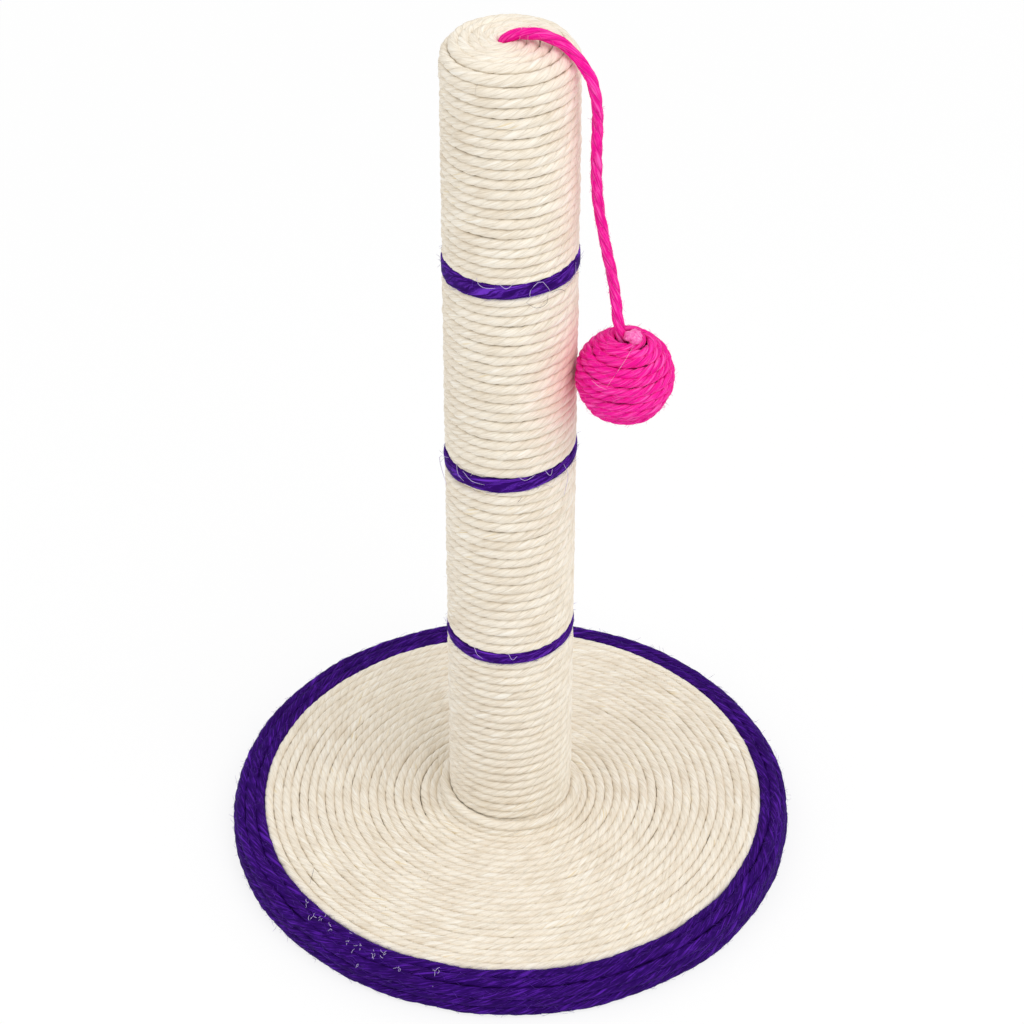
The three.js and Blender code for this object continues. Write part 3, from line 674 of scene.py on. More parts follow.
class CATPOST_OT_hard_parts(bpy.types.Operator):
    """Finish the board, liner, tube, plugs and fasteners that the ropes cover."""

    bl_idname = "catpost.hard_parts"
    bl_label = "Hard parts"

    def execute(self, context):
        finishes = {
            # pressed wood dust: even brown with fine dark specks
            ("base_board",): grainy("raw_fibreboard", "A98357", "C09B6B", 0.9, depth=0.05),
            # needled waste wool: grey with a fuzzy relief
            ("base_liner",): grainy("needled_felt", "4B4A48", "6E6C69", 1.4, roughness=1, bump=0.8),
            # kraft paper wound in layers: flat brown with long faint bands
            ("post_tube",): grainy("kraft_cardboard", "9C7A50", "B8946A", 0.26, (1, 1, 0.15)),
            # turned pine: pale, with grain along the post
            ("lower_plug", "upper_plug"): grainy(
                "turned_pine", "C99C63", "E3C08D", 0.42, (1, 1, 0.06), roughness=0.65
            ),
            # turned beech, red-brown from the rope's dye
            ("ball_core",): grainy(
                "dye_stained_beech", "5E1F3A", "8A2A55", 0.5, (1, 1, 0.1), roughness=0.6
            ),
            # zinc plated steel: bluish grey with a soft cloudy gloss
            FASTENERS: grainy(
                "zinc_plated_steel", "B2B7BC", "CDD1D5", 0.18,
                roughness=0.34, metallic=1, bump=0.05, depth=0.02,
            ),
        }
        for nodes, material in finishes.items():
            for node in nodes:
                mesh = frame["nodes"][node].data
                mesh.materials.clear()
                mesh.materials.append(material)
        return {"FINISHED"}


class CATPOST_OT_base_rope(bpy.types.Operator):
    """Wind the cream rope in a flat spiral from the post to the rim."""

    bl_idname = "catpost.base_rope"
    bl_label = "Base rope"

    def execute(self, context):
        s = context.scene.rope_sizes
        radius = s.rope / 2
        height = ROPE_LEVEL + radius
        first = s.post_radius + radius - 0.5 * MM  # pressed half a millimetre into the post's rope
        corner = [first + s.foot_bend, height + s.foot_bend]
        pieces = [
            straight([first, corner[1] + s.foot_climb], [first, corner[1]], [1, 0]),
            bend(corner, s.foot_bend, math.pi, 1.5 * math.pi, hollow=True),
            straight([corner[0], height], [s.base_last, height], [0, 1]),
        ]
        turns = whole_length(pieces) / s.base_pitch
        line, away, turn, _ = wound(pieces, turns, s.rope_end - turns * TURN, STEP)
        side = s.base_pitch / 2 * 1.1  # the turns press into each other
        grid, passed, groove, hollow = laid_rope(
            line, away, radius, side, s.lay, seed=11, depth=0.13, end=2.5 * MM)
        # The painted shade between turns is left off the top of the first turn, which nothing
        # shades.
        groove = groove * np.clip(turn - 1, 0, 1)[:, None]
        rope = ropes["base"] = grid, passed, groove, hollow
        parts = math.ceil(len(line) / PIECE_RINGS)
        cuts = np.linspace(0, len(line) - 1, parts + 1).astype(int)
        for k in range(parts):
            piece = rope_piece(f"cream_base_rope_{k + 1}", rope, cuts[k], cuts[k + 1])
            dress(piece, rope_material("bleached_sisal"), "post", "cream_sisal", "base_rope")
        return {"FINISHED"}


class CATPOST_OT_rim_rope(bpy.types.Operator):
    """Carry the spiral on in purple rope, over the edge of the base and down its side."""

    bl_idname = "catpost.rim_rope"
    bl_label = "Rim rope"

    def execute(self, context):
        s = context.scene.rope_sizes
        radius = s.rope / 2
        height = ROPE_LEVEL + radius
        outer = s.rim_radius - radius
        corner = [outer - s.rim_bend, height - s.rim_bend]
        turns, tail = 5, 0.45  # whole turns, and the share of one that thins out over the floor
        thinning = 4.3 * MM  # that a whole turn of it would lose in height
        pieces = [
            straight([s.base_last, height], [corner[0], height], [0, 1]),
            bend(corner, s.rim_bend, math.pi / 2, 0),
            straight([outer, corner[1]], [outer, 0], [1, 0]),
        ]
        front = 0.75 - s.rope_end / TURN  # share of a turn from the rope's start to the front

        def advance(turn):
            """Turns lie a pitch apart in front and are squeezed where the rope starts. Beyond the
            last whole turn the rope goes no further down."""
            knots = [(k, k * s.rim_squeeze) for k in range(turns + 1)]
            knots += [(k + front, (k + front) * s.rim_pitch) for k in range(turns)]
            places, distances = zip(*sorted(knots))
            return np.interp(turn, places, distances)

        line, away, turn, _ = wound(pieces, turns + tail, s.rope_end, STEP, advance)
        # Past its last whole turn the rope thins into the wedge that is left over the floor, and
        # its lower edge stays level.
        slip = np.clip(turn - turns, 0, 1) * thinning
        line[:, 2] -= slip
        side = s.rim_pitch / 2 * 1.15 - slip
        rope = laid_rope(line, away, radius - slip, side, s.lay * 1.4, seed=23, wander=0.45,
                         depth=0.17, end=2.5 * MM)
        rope[0][..., 2] = np.maximum(rope[0][..., 2], 0.1 * MM)  # just above the floor
        ropes["rim"] = rope
        piece = rope_piece("purple_rim_rope", rope)
        dress(piece, rope_material("purple_dyed_sisal"), "post", "purple_sisal", "rim_rope")
        return {"FINISHED"}


CORD_ASIDE = 2.9 * MM  # how far left of the middle the cord leaves the top


class CATPOST_OT_post_rope(bpy.types.Operator):
    """Wind the cream rope up the post, round its shoulder and in to the middle of its top."""

    bl_idname = "catpost.post_rope"
    bl_label = "Post rope"

    def execute(self, context):
        s = context.scene.rope_sizes
        radius = s.rope / 2
        middle = s.post_radius - radius
        foot = ROPE_LEVEL + radius
        corner = [s.post_radius - s.shoulder, HEIGHT - s.shoulder]
        curve = s.shoulder - radius
        pieces = [
            straight([middle, foot], [middle, corner[1]], [1, 0]),
            bend(corner, curve, 0, math.pi / 2),
            straight([corner[0], HEIGHT - radius], [s.top_turn, HEIGHT - radius], [0, 1]),
        ]
        # Pitches between floor, bands and top: the turns lie closest in the lowest length.
        levels = [foot, *BAND_HEIGHTS, foot + whole_length(pieces)]
        pitches = np.array([5.15, 5.55, 5.5, 5.3]) * MM
        turns_at = np.concatenate([[0], np.cumsum(np.diff(levels) / pitches)])
        turns_at[-1] = round(turns_at[-1])  # the spiral ends at the back
        over_top = whole_length(pieces[1:]) / np.diff(levels)[-1]  # share of the last length
        top = over_top * np.diff(turns_at)[-1]  # turns from the shoulder to the middle
        # One level turn more closes the hole round the cord.
        levels.append(levels[-1])
        turns_at = np.append(turns_at, turns_at[-1] + 1)

        def advance(turn):
            """Turns are evenly apart within each length between bands."""
            return np.interp(turn, turns_at, np.array(levels) - foot)

        line, away, turn, pitch = wound(pieces, turns_at[-1], BACK, STEP, advance)
        # The rope's line sinks under each band, to `sunk` at its middle and within `reach` of it.
        sunk, reach = 1.5 * MM, 3.2 * MM
        dip = np.zeros(len(line))
        cuts = [0]
        for k in range(3):
            above = line[:, 2] - band_span(k, line[:, 0] / middle)[0]
            cuts.append(int(np.argmax(above > 0)))
            dip += np.exp(-((above / reach) ** 4))
        line = line - away * (dip * sunk)[:, None]
        closing = np.clip((turn - turns_at[-2]) / top + 1, 0, 1)
        line[:, 0] -= CORD_ASIDE * closing**1.5  # the turns of the top close round the cord
        pitch = np.maximum(pitch, np.median(pitch)) * (1.07 + 0.09 * np.minimum(2 * closing, 1))
        rope = laid_rope(line, away, radius, pitch / 2, s.lay, seed=37, depth=0.13, end=3 * MM)
        self.press(rope[0])
        ropes["post"] = rope
        rubbed = self.rubbed(rope[0])
        cuts += [int(np.searchsorted(turn, turns_at[-2] - top)), len(line) - 1]
        material = rope_material("bleached_sisal")
        for k in range(4):
            name = f"cream_post_rope_{k + 1}"
            piece = rope_piece(name, rope, cuts[k], cuts[k + 1], rubbed=rubbed)
            dress(piece, material, "post", "cream_sisal", f"post_rope_{k + 1}")
        piece = rope_piece("cream_top_rope", rope, cuts[4], cuts[5], rubbed=rubbed)
        dress(piece, material, "post", "cream_sisal", "top_rope")
        return {"FINISHED"}

    def press(self, grid):
        """Presses the rope in under each band, to a radius that the band covers, and lets it rise
        evenly again at the band's edges."""
        limit = bpy.context.scene.rope_sizes.post_radius - 2 * MM
        beyond = 0.3 * MM  # how far past the band's edge it is out again
        rise = 0.8 * MM  # height over which it comes out
        radius = np.hypot(grid[..., 0], grid[..., 1])
        for k in range(3):
            level, half = band_span(k, grid[..., 0] / radius)
            under = np.clip((half + beyond - np.abs(grid[..., 2] - level)) / rise, 0, 1)
            pressed = radius - np.maximum(radius - limit, 0) * under
            grid[..., :2] *= (pressed / radius)[..., None]
            radius = pressed

    def rubbed(self, grid):
        """How much painted pink bounce light each point takes, standing for the light that the pink
        ball and cord throw on the post: most where the ball lies against the post, less beside the
        cord, fading as a bell curve of the distance to them."""
        # Each middle, its radius, how far round it the painted pink light reaches, and how strong
        # it is.
        near = [(BALL, 24 * MM, 15 * MM, 0.5)]
        hanging = cord_route()[10:-2]
        near += [(Vector(point), 2 * MM, 13 * MM, 0.22) for point in hanging]
        rubbed = np.zeros(grid.shape[:2])
        for middle, radius, reach, most in near:
            distance = np.linalg.norm(grid - np.array(middle), axis=2) - radius
            rubbed = np.maximum(rubbed, most * np.exp(-((np.maximum(distance, 0) / reach) ** 2)))
        return rubbed


# How each band lies, from the floor up: mm below the frame's band, mm that its left lies lower
# still, and the share by which its left is fatter.
BAND_SAGS = ((0.9, 1.8, 0), (2.2, 2.7, 0), (1.2, 1.8, 0.3))


def band_span(k, cosine):
    """Middle height and half height of a band on the side that the cosine of the angle gives."""
    s = bpy.context.scene.band_sizes
    drop, tilt, fatter = BAND_SAGS[k]
    level = BAND_HEIGHTS[k] - (drop - tilt * cosine) * MM
    return level, (s.height + k * s.taller) / 2 * (1 + fatter * np.maximum(-cosine, 0) ** 2)


CLOSED_TURN = 1.012  # turns in a band, so that its ends just pass each other


class CATPOST_OT_bands(bpy.types.Operator):
    """Lay the three purple bands, each one fat turn of loose yarn."""

    bl_idname = "catpost.bands"
    bl_label = "Bands"

    def execute(self, context):
        s, ropes_in = context.scene.band_sizes, context.scene.rope_sizes
        inner = ropes_in.post_radius - ropes_in.rope
        thick = ropes_in.rope + s.proud
        middle = inner + thick / 2
        for k in range(3):
            ring = [straight([middle, 0], [middle, MM], [1, 0])]
            line, away, _, _ = wound(ring, CLOSED_TURN, BACK, FINE_STEP, lambda turn: turn * 0)
            line[:, 2], half = band_span(k, line[:, 0] / middle)
            rng = np.random.default_rng(50 + k)
            half *= 1.03 + 0.1 * smooth_random(travelled(line), 14 * MM, rng)
            rope = laid_rope(line, away, thick / 2, half, s.lay, seed=60 + k, strands=5,
                             depth=0.14, turned=0.6 * k, square=0.55, end=1.5 * MM)
            ropes[f"band_{k + 1}"] = rope
            piece = rope_piece(f"purple_band_{k + 1}", rope)
            yarn = rope_material("violet_sisal_yarn")
            dress(piece, yarn, "post", "purple_sisal", f"band_rope_{k + 1}")
        return {"FINISHED"}


# The cord's middle: [x, y, height above the top of the post] in millimetres, from the knot under
# the plug, up through its hole, over the shoulder and down to the ball. The hanging part lies in
# an upright plane through the ball.
HANG_AZIMUTH = math.radians(-11.5)


def cord_route():
    """The points of the cord's route, in metres."""
    ball = BALL / MM
    height = HEIGHT / MM
    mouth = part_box("ball_core")[1].z / MM - height

    def hung(x, z):
        """A point of the hanging part."""
        return [x, ball.y + (x - ball.x) * math.tan(HANG_AZIMUTH), z]

    points = [
        [0, 0, KNOT_TOP / MM + 0.3 - height], [0, 0, -33], [-0.5, 0, -25.5], [-1.4, 0, -17.5],
        [-2.5, 0, -10.5], [-3.3, 0, -5], [-2.6, -0.3, -0.6], [2.6, -1.2, 2.4], [7.9, -2.9, 3.8],
        [12.8, -5, 4.4], [17.1, -7.2, 4.3], [21.4, -9.6, 3.5], [25.8, -12, 1.4],
        [30.1, -14.2, -2.5], [34, -15.6, -7.6], [36.6, -16.2, -13], [38.1, -16, -19],
        [39.1, -15, -26.5], hung(39.5, -36), hung(39.5, -46), hung(39.5, -57), hung(40, -69),
        hung(41, -80), hung(42.7, -91), hung(44.9, -102), hung(47.2, -113), hung(49.1, -124),
        hung(50.4, -135), hung(ball.x - 3.9, ball.z - height + 31.25),
        hung(ball.x - 1.2, mouth + 0.3),
    ]
    return np.array([[x, y, height + z] for x, y, z in points]) * MM


# The stretches of the cord, and the nodes that each replaces.
CORD_NODES = {
    "upper": ["toy_cord_top", "toy_cord_drop"],
    "lower": ["toy_cord_tail"],
    "end": ["toy_cord_tail"],
}
cord_rings = {}  # the first and the last ring of each stretch
JOINTS = {joint["name"]: Vector(joint["pos_m"]) for joint in frame["joints"]}


def bend_cord(piece):
    """Bakes the placement of a stretch of the cord into its mesh."""
    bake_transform(piece)


class CATPOST_OT_cord(bpy.types.Operator):
    """Twist the pink cord from the knot in the post to the ball, in three stretches."""

    bl_idname = "catpost.cord"
    bl_label = "Cord"

    def execute(self, context):
        s = context.scene.toy_sizes
        line = through(cord_route(), FINE_STEP)
        away = np.broadcast_to([0.3, 0.954, 0.0], line.shape)  # the cord never runs that way
        grid, passed, groove, hollow = laid_rope(
            line, away, s.cord / 2, s.cord / 2, s.cord_lay, seed=71, wander=0.12, depth=0.27, end=0)
        # Without turns, the cord gets none of the painted shade between turns.
        rope = grid, passed, groove * 0, hollow  # the cord is free, so it has no turns beside it
        ropes["cord"] = rope
        # It is cut between the two swings, and above the ball, where it hangs past the edge.
        levels = (JOINTS["toy_swing"].z + JOINTS["toy_side_swing"].z) / 2, BALL.z + 60 * MM
        hanging = np.arange(len(line)) > len(line) * 0.4
        below = [int(np.argmax(hanging & (line[:, 2] < level))) for level in levels]
        cuts = [0, *below, len(line) - 1]
        for part, first, last in zip(CORD_NODES, cuts, cuts[1:]):
            piece = rope_piece(f"pink_cord_{part}", rope, first, last)
            piece.data.materials.append(rope_material("pink_dyed_sisal"))
            cord_rings[part] = first, last
            bend_cord(piece)
            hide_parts(*CORD_NODES[part])
        return {"FINISHED"}


class CATPOST_OT_knot(bpy.types.Operator):
    """Tie the stopper knot that holds the cord under the plug."""

    bl_idname = "catpost.knot"
    bl_label = "Knot"

    def execute(self, context):
        s = context.scene.toy_sizes
        # A trefoil: three times up and down while it goes twice round the axis.
        opening, places, size = 0.12, 160, 1.62 * MM
        t = np.linspace(opening, TURN - opening, places)
        out = 2 + np.cos(3 * t)
        line = np.stack([out * np.cos(2 * t), out * np.sin(2 * t), 1.5 * np.sin(3 * t)], 1) * size
        pulled = s.cord * 0.4  # the knot squeezes the cord
        rope = laid_rope(line + np.array(KNOT), line, pulled, pulled, s.cord_lay, seed=77, wander=0)
        piece = rope_piece("pink_stopper_knot", rope)
        dress(piece, rope_material("pink_dyed_sisal"), "toy_lead", "pink_sisal", "toy_knot")
        return {"FINISHED"}


class CATPOST_OT_ball(bpy.types.Operator):
    """Wind the ball from the mouth at its top down to its foot."""

    bl_idname = "catpost.ball"
    bl_label = "Ball"

    def execute(self, context):
        s = context.scene.toy_sizes
        radius = s.ball_rope / 2
        middle = s.ball / 2 - radius
        meridian = [bend([0, 0], middle, math.pi / 2 - s.mouth, s.ball_foot - math.pi / 2)]
        line, away, turn, _ = wound(
            meridian, s.ball_turns, math.radians(60), FINE_STEP, centre=BALL)
        # The mouth lies to the post's side.
        line[:, 0] -= 2.2 * MM * np.clip(1 - turn / 2, 0, 1) ** 2
        side = radius * 1.1  # the turns press into each other
        rope = laid_rope(line, away, radius, side, 19 * MM, seed=83, wander=0.45, depth=0.34)
        ropes["ball"] = rope
        piece = rope_piece("pink_ball_rope", rope)
        dress(piece, rope_material("pink_dyed_sisal"), "toy_ball", "pink_sisal", "ball_rope")
        return {"FINISHED"}


class CATPOST_OT_dab(bpy.types.Operator):
    """Put the dab of dried glue beside the cord at the ball's mouth."""

    bl_idname = "catpost.dab"
    bl_label = "Dab of glue"

    def execute(self, context):
        # A flattened ball, swollen and pitted by waves round it, which fade at its poles.
        s = context.scene.toy_sizes
        rows, columns, flat = 26, 40, 0.7
        tilts, turns = np.linspace(0, math.pi, rows), np.arange(columns) * TURN / columns
        tilt, turn = np.meshgrid(tilts, turns, indexing="ij")
        waves = 0.12 * np.sin(3 * turn + 1) + 0.09 * np.sin(5 * turn + 4 * tilt)
        waves += 0.05 * np.sin(9 * turn - 5 * tilt + 2)
        size = (1 + waves * np.sin(tilt))[..., None] * s.dab / 2
        ball = [np.sin(tilt) * np.cos(turn), np.sin(tilt) * np.sin(turn), flat * np.cos(tilt)]
        out = Vector((0.15, -0.12, 0.98)).normalized()  # beside the mouth, right of the cord
        turned = np.array(out.to_track_quat("Z", "Y").to_matrix())
        place = np.array(BALL + out * (s.ball / 2 + 0.1 * MM))
        grid = (np.stack(ball, -1) * size @ turned.T + place)[::-1]
        piece = tube_mesh("glue_dab", grid[1:-1], np.arange(rows) * 0.4 * MM)
        # dried glue full of the rope's fibres: bright pink and lumpy, with a soft shine
        material = grainy("dried_glue_with_fibres", "EE3FA2", "FA8CCB", 0.9, roughness=0.45,
                          bump=0.7, depth=0.5)
        dress(piece, material, "toy_ball", "dried_glue", "ball_dab")
        return {"FINISHED"}


# ---------------------------------------------------------------- loose fibres
HAIR = 0.13 * MM  # thickness of the fuzz
STRAY, PALE_STRAY = 0.2 * MM, 0.3 * MM  # of the single fibres placed one by one
STROKE_POINTS = 9

# Single fibres on the bands: (degrees round the post, height in mm, mm out of the rope).
PALE_ON_BANDS = (
    ((242, 366, 0.6), (243, 364, 1.2), (247, 362.3, 1.6), (253, 362, 1.4), (258, 362.2, 0.6)),
    ((260, 365, 0.6), (267, 362.7, 1.4), (273, 365.5, 0.6)),
    ((337, 364.2, 0.6), (331, 359.4, 2), (321, 355.5, 0.8)),
    ((287, 356, 0.6), (285, 360, 1.6), (288, 363, 1.8), (295, 364.8, 1), (300, 361, 1.8),
     (304, 357.2, 0.6)),
    ((218, 253, 0.8), (222, 248, 1.6), (227, 245, 0.6)),
    ((226, 251, 0.8), (236, 248, 1.3), (248, 247.5, 0.7)),
    ((321, 253, 0.8), (325, 246, 1.8), (323, 233, 0.5)),
    ((274, 256, 0.7), (282, 252, 1.4), (292, 254, 0.7)),
    ((300, 255, 0.7), (305, 251, 1.4), (308, 254, 0.7)),
    ((205, 252, 0.8), (184, 243, 2.6), (199, 232, 0.6)),
    ((236, 144, 0.7), (240, 139, 1.2), (245, 137, 0.7)),
    ((268, 143, 0.7), (272, 139, 1.2), (276, 141, 0.7)),
)
DARK_ON_BANDS = (
    ((283, 354, 0.5), (291, 350.5, 1), (300, 351.3, 0.9), (302, 355.6, 0.5)),
    ((280, 241.5, 0.5), (276, 238.5, 0.6)),
    ((321, 353, 0.4), (313, 356.4, 0.9), (305, 356, 0.4)),
)
# A dark hair on the base, and the lint on its rim: (degrees round the post, mm from the middle).
DARK_ON_BASE = ((211, 120), (213.5, 124.5), (215.5, 128.5))
LINT = (
    (219.5, 136.7), (223.3, 139.7), (225, 138.5), (228.6, 139.9), (233.2, 135), (234.5, 142.5),
    (237, 141.7), (238.8, 148), (240.6, 141.7), (242.4, 141), (246.7, 144.6), (254.5, 142),
    (255, 147.5),
)
# Fibres over the cord: mm from the middle of the top; and on the ball: mm from its middle.
OVER_CORD = (
    ((6, 2.5, 2.5), (5.2, -1.6, 6.3), (4, -6, 1.5)),
    ((8.3, 2, 3.5), (8.1, -2.6, 7.1), (7.8, -6.5, 2.5)),
)
ON_BALL = (
    ((3.3, -9.4, 22.8), (-2.5, -18.8, 18), (-9.4, -21.8, 8)),
    ((-16.4, -17, 8.7), (-13, -20.5, 7.5), (-9.4, -22, 6.7)),
)


def round_post(stroke, radius):
    """Points round the post from (degrees, height, mm out of the rope)."""
    a, z, out = np.array(stroke, float).T
    a, r = np.radians(a), radius + out * MM
    return np.stack([r * np.cos(a), r * np.sin(a), z * MM], 1)


def strokes(lines):
    """Smooth lines of equally many points through each stroke's points."""
    smooth = [through(line, 0.2 * MM) for line in lines]
    return [line[np.linspace(0, len(line) - 1, STROKE_POINTS).astype(int)] for line in smooth]


def lint(radius, top, seed):
    """Short curled hairs round each place of lint: arcs of random turn, size and bow. They lie on
    the rope, which falls away as the square of the distance over its last 10 mm."""
    rng = np.random.default_rng(seed)
    count, edge = 4, 10 * MM
    lines = []
    for degrees, distance in LINT:
        a, r = math.radians(degrees), distance * MM
        fall = max(0, r - radius + edge) ** 2 / (16 * MM)
        middle = np.array([r * math.cos(a), r * math.sin(a), top - fall])
        start = middle + rng.normal(0, 0.8, (count, 3)) * [MM, MM, 0.1 * MM]
        first = rng.uniform(0, TURN, (count, 1))
        turn = first + np.linspace(0, 1, STROKE_POINTS) * rng.uniform(-1.8, 1.8, (count, 1))
        step = rng.uniform(0.15, 0.5, (count, 1)) * MM
        path = [np.cos(turn) * step, np.sin(turn) * step, 0.1 * step * np.cos(2 * turn)]
        lines.extend(start[:, None] + np.cumsum(np.stack(path, 2), axis=1))
    return lines


class CATPOST_OT_fibres(bpy.types.Operator):
    """Let loose fibres stand out of the ropes, the bands, the cord and the ball."""

    bl_idname = "catpost.fibres"
    bl_label = "Loose fibres"

    def execute(self, context):
        colours, s = context.scene.post_colours, context.scene.rope_sizes
        cream = hair_material("loose_cream_fibre", tuple(colours.cream_light))
        purple = hair_material("loose_violet_fibre", tuple(colours.purple_light))
        pink = hair_material("loose_pink_fibre", tuple(colours.pink_light))
        for name, rope, material, slot, count, reach, lift in (
            ("post_fuzz", "post", cream, "cream_sisal", 700, 5, 0.35),
            ("base_fuzz", "base", cream, "cream_sisal", 700, 5, 0.3),
            ("rim_fuzz", "rim", purple, "purple_sisal", 2200, 6, 0.45),
            ("band_fuzz_1", "band_1", purple, "purple_sisal", 160, 6, 0.4),
            ("band_fuzz_2", "band_2", purple, "purple_sisal", 160, 6, 0.4),
            ("band_fuzz_3", "band_3", purple, "purple_sisal", 160, 6, 0.4),
        ):
            lines = fuzz_lines(ropes[rope], count, reach, lift, seed=count + len(name))
            dress(hair_mesh(name, lines, HAIR), material, "post", slot)
        pale = hair_material("stray_lilac_fibre", linear("D6C6F0"))
        dark = hair_material("stray_dark_fibre", linear("2B1546"))
        blond = hair_material("stray_pale_pink_fibre", linear("FFC4E2"))
        top = ROPE_LEVEL + s.rope + 0.4 * MM  # just over the base rope
        hair = [[math.radians(a), r * MM] for a, r in DARK_ON_BASE]
        hair = [[r * math.cos(a), r * math.sin(a), top + 0.6 * MM] for a, r in hair]
        lines = strokes([*(round_post(stroke, s.post_radius) for stroke in DARK_ON_BANDS), hair])
        dress(hair_mesh("dark_strays", lines, STRAY), dark, "post", "purple_sisal")
        lines = strokes([round_post(stroke, s.post_radius) for stroke in PALE_ON_BANDS])
        lines += lint(s.rim_radius, top, seed=97)
        dress(hair_mesh("pale_strays", lines, PALE_STRAY), pale, "post", "purple_sisal")
        lines = strokes([np.array(stroke) * MM + [0, 0, HEIGHT] for stroke in OVER_CORD])
        dress(hair_mesh("cord_strays", lines, STRAY), blond, "toy_lead", "pink_sisal")
        lines = strokes([np.array(stroke) * MM + np.array(BALL) for stroke in ON_BALL])
        dress(hair_mesh("ball_strays", lines, STRAY), blond, "toy_ball", "pink_sisal")
        lines = fuzz_lines(ropes["ball"], 900, 4, 0.6, seed=91)
        dress(hair_mesh("ball_fuzz", lines, HAIR), pink, "toy_ball", "pink_sisal")
        for part, count in (("upper", 120), ("lower", 190), ("end", 70)):
            first, last = cord_rings[part]
            lines = fuzz_lines(ropes["cord"], count, 3.5, 0.5, count, first, last - 6)
            fuzz = hair_mesh(f"pink_cord_fuzz_{part}", lines, HAIR)
            fuzz.data.materials.append(pink)
            bend_cord(fuzz)
        return {"FINISHED"}


# ---------------------------------------------------------------- stage
class CATPOST_OT_stage(bpy.types.Operator):
    """Set the pale floor, the soft light and the camera of the photograph."""

    bl_idname = "catpost.stage"
    bl_label = "Stage"

    def execute(self, context):
        s = context.scene.studio_sizes
        context.scene.view_settings.view_transform = "Standard"
        self.floor()
        self.sky(s.sky)
        self.lamp("key_lamp", (0.95, -0.95, 2.15), s.key, 1.6)
        self.lamp("fill_lamp", (-1.4, -0.6, 1.6), s.key * 0.25, 1.8)
        data = bpy.data.cameras.new("photo_camera")
        data.lens, data.sensor_width = s.lens, 36
        data.shift_x, data.shift_y = s.shift, -s.shift
        camera = bpy.data.objects.new("photo_camera", data)
        camera.location = (0, -s.camera_back, s.camera_height)
        camera.rotation_euler = (math.pi / 2 - s.camera_pitch, 0, 0)
        context.scene.collection.objects.link(camera)
        context.scene.camera = camera
        return {"FINISHED"}

    def lamp(self, name, place, power, size):
        """A large soft square lamp aimed at the middle of the post."""
        data = bpy.data.lights.new(name, "AREA")
        data.energy, data.size = power, size
        lamp = bpy.data.objects.new(name, data)
        lamp.location = place
        aim = Vector((0, 0, 0.2)) - Vector(place)
        lamp.rotation_euler = aim.to_track_quat("-Z", "Y").to_euler()
        bpy.context.scene.collection.objects.link(lamp)

    def floor(self):
        """A round pale floor. What the camera sees is mixed with plain white: in part near the
        post, where its shadow lies, and wholly from 1.6 m on, so that no horizon shows."""
        sides, rings = 96, np.array([0.3, 1, 3, 9])
        angle = np.arange(sides) * TURN / sides
        out = [rings[:, None] * np.cos(angle), rings[:, None] * np.sin(angle)]
        grid = np.stack([*out, np.zeros((len(rings), sides))], -1)
        fours = ring_faces(len(rings), sides)[0][:, ::-1]
        floor = smooth_mesh("floor", grid.reshape(-1, 3), fours, [list(range(sides))])
        material, tree = new_material("white_paper_floor")
        paper = add(tree, "BsdfDiffuse", {"Color": linear("FCFCFC")})
        white = add(tree, "Emission", {"Color": (1, 1, 1), "Strength": 1})
        place = add(tree, "TexCoord").outputs["Object"]
        far = add(tree, "VectorMath", {0: place}, operation="LENGTH").outputs["Value"]
        near_share = 0.8
        growth = add(tree, "MapRange", {0: far, 1: 0.4, 2: 1.6, 4: 1 - near_share}, **SMOOTH)
        share = add(tree, "Math", {0: growth, 1: near_share}, operation="ADD")
        seen = add(tree, "Math", {0: seen_directly(tree), 1: share}, operation="MULTIPLY")
        mix = add(tree, "MixShader", {0: seen, 1: paper, 2: white})
        add(tree, "OutputMaterial", {"Surface": mix})
        floor.data.materials.append(material)

    def sky(self, strength):
        """An even white surrounding, plain white where it is seen."""
        world = bpy.data.worlds.new("studio")
        bpy.context.scene.world = world
        world.use_nodes = True
        tree = world.node_tree
        tree.nodes.clear()
        light = add(tree, "Background", {"Color": (1, 1, 1), "Strength": strength})
        white = add(tree, "Background", {"Color": (1, 1, 1), "Strength": 1})
        mix = add(tree, "MixShader", {0: seen_directly(tree), 1: light, 2: white})
        add(tree, "OutputWorld", {"Surface": mix})


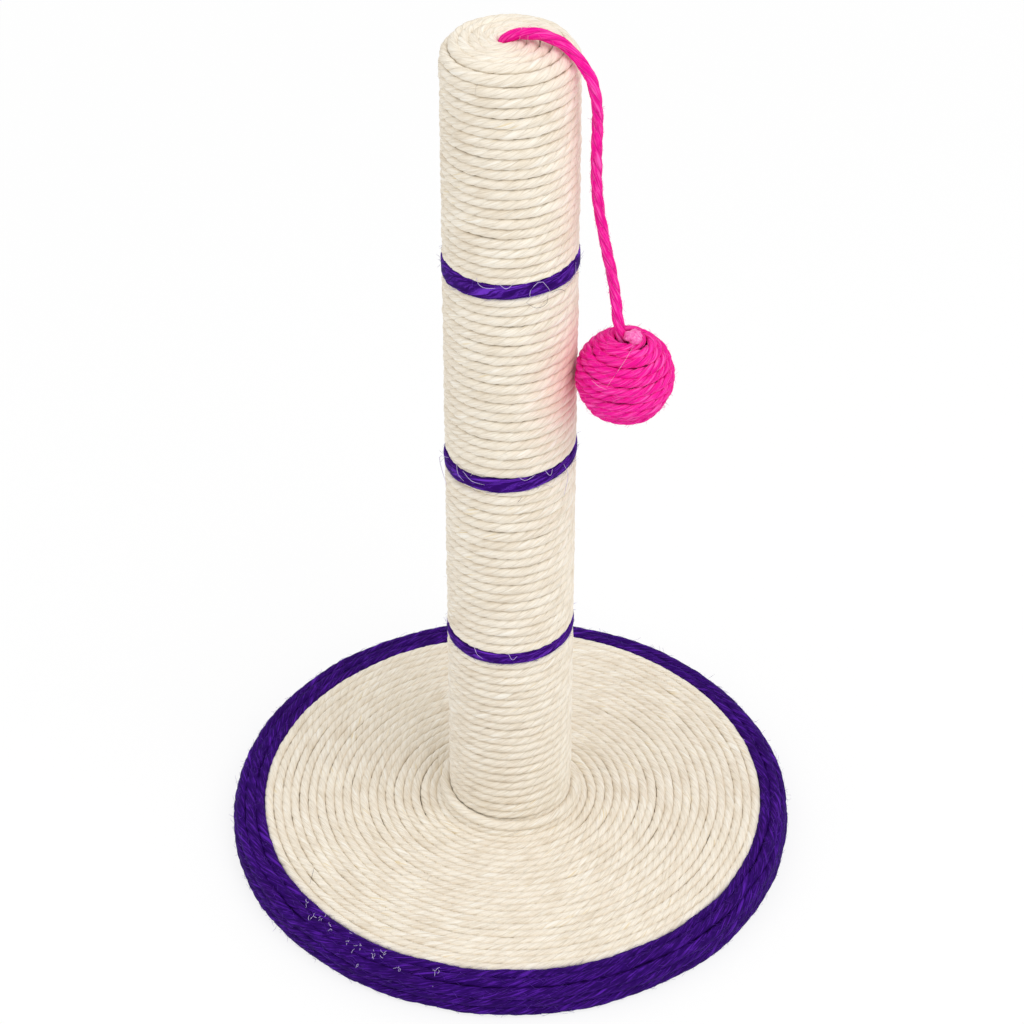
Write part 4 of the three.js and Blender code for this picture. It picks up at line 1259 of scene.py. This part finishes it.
def seen_directly(tree):
    """1 for rays from the camera, a mirror or glass, and 0 for light."""
    ray = add(tree, "LightPath").outputs
    camera, mirror, glass = (ray[f"Is {kind} Ray"] for kind in ("Camera", "Glossy", "Transmission"))
    seen = add(tree, "Math", {0: camera, 1: mirror}, operation="MAXIMUM")
    return add(tree, "Math", {0: seen, 1: glass}, operation="MAXIMUM")


# ---------------------------------------------------------------- panel and registration
OPERATORS = (
    CATPOST_OT_hard_parts, CATPOST_OT_base_rope, CATPOST_OT_rim_rope, CATPOST_OT_post_rope,
    CATPOST_OT_bands, CATPOST_OT_cord, CATPOST_OT_knot, CATPOST_OT_ball, CATPOST_OT_dab,
    CATPOST_OT_fibres, CATPOST_OT_stage,
)
SETTINGS = {
    "rope_sizes": RopeSizes, "band_sizes": BandSizes, "toy_sizes": ToySizes,
    "post_colours": PostColours, "studio_sizes": StudioSizes,
}


class CATPOST_PT_panel(bpy.types.Panel):
    """Lists the pieces of the cat scratching post."""

    bl_idname = "CATPOST_PT_panel"
    bl_label = "Cat scratching post"
    bl_space_type = "VIEW_3D"
    bl_region_type = "UI"
    bl_category = "Cat post"

    def draw(self, context):
        """A button for each piece, and the sizes and colours below them."""
        for operator in OPERATORS:
            self.layout.operator(operator.bl_idname)
        for name in SETTINGS:
            box = self.layout.box()
            group = getattr(context.scene, name)
            for prop in group.__annotations__:
                box.prop(group, prop)


def register():
    """Makes the operators, the panel and the settings known."""
    for cls in (*SETTINGS.values(), *OPERATORS, CATPOST_PT_panel):
        bpy.utils.register_class(cls)
    for name, cls in SETTINGS.items():
        setattr(bpy.types.Scene, name, PointerProperty(type=cls))


def unregister():
    """Takes them away again."""
    for name in SETTINGS:
        delattr(bpy.types.Scene, name)
    for cls in reversed((*SETTINGS.values(), *OPERATORS, CATPOST_PT_panel)):
        bpy.utils.unregister_class(cls)


def main():
    """Builds every piece in order."""
    register()
    for operator in OPERATORS:
        group, name = operator.bl_idname.split(".")
        getattr(getattr(bpy.ops, group), name)()


if __name__ == "__main__":
    main()
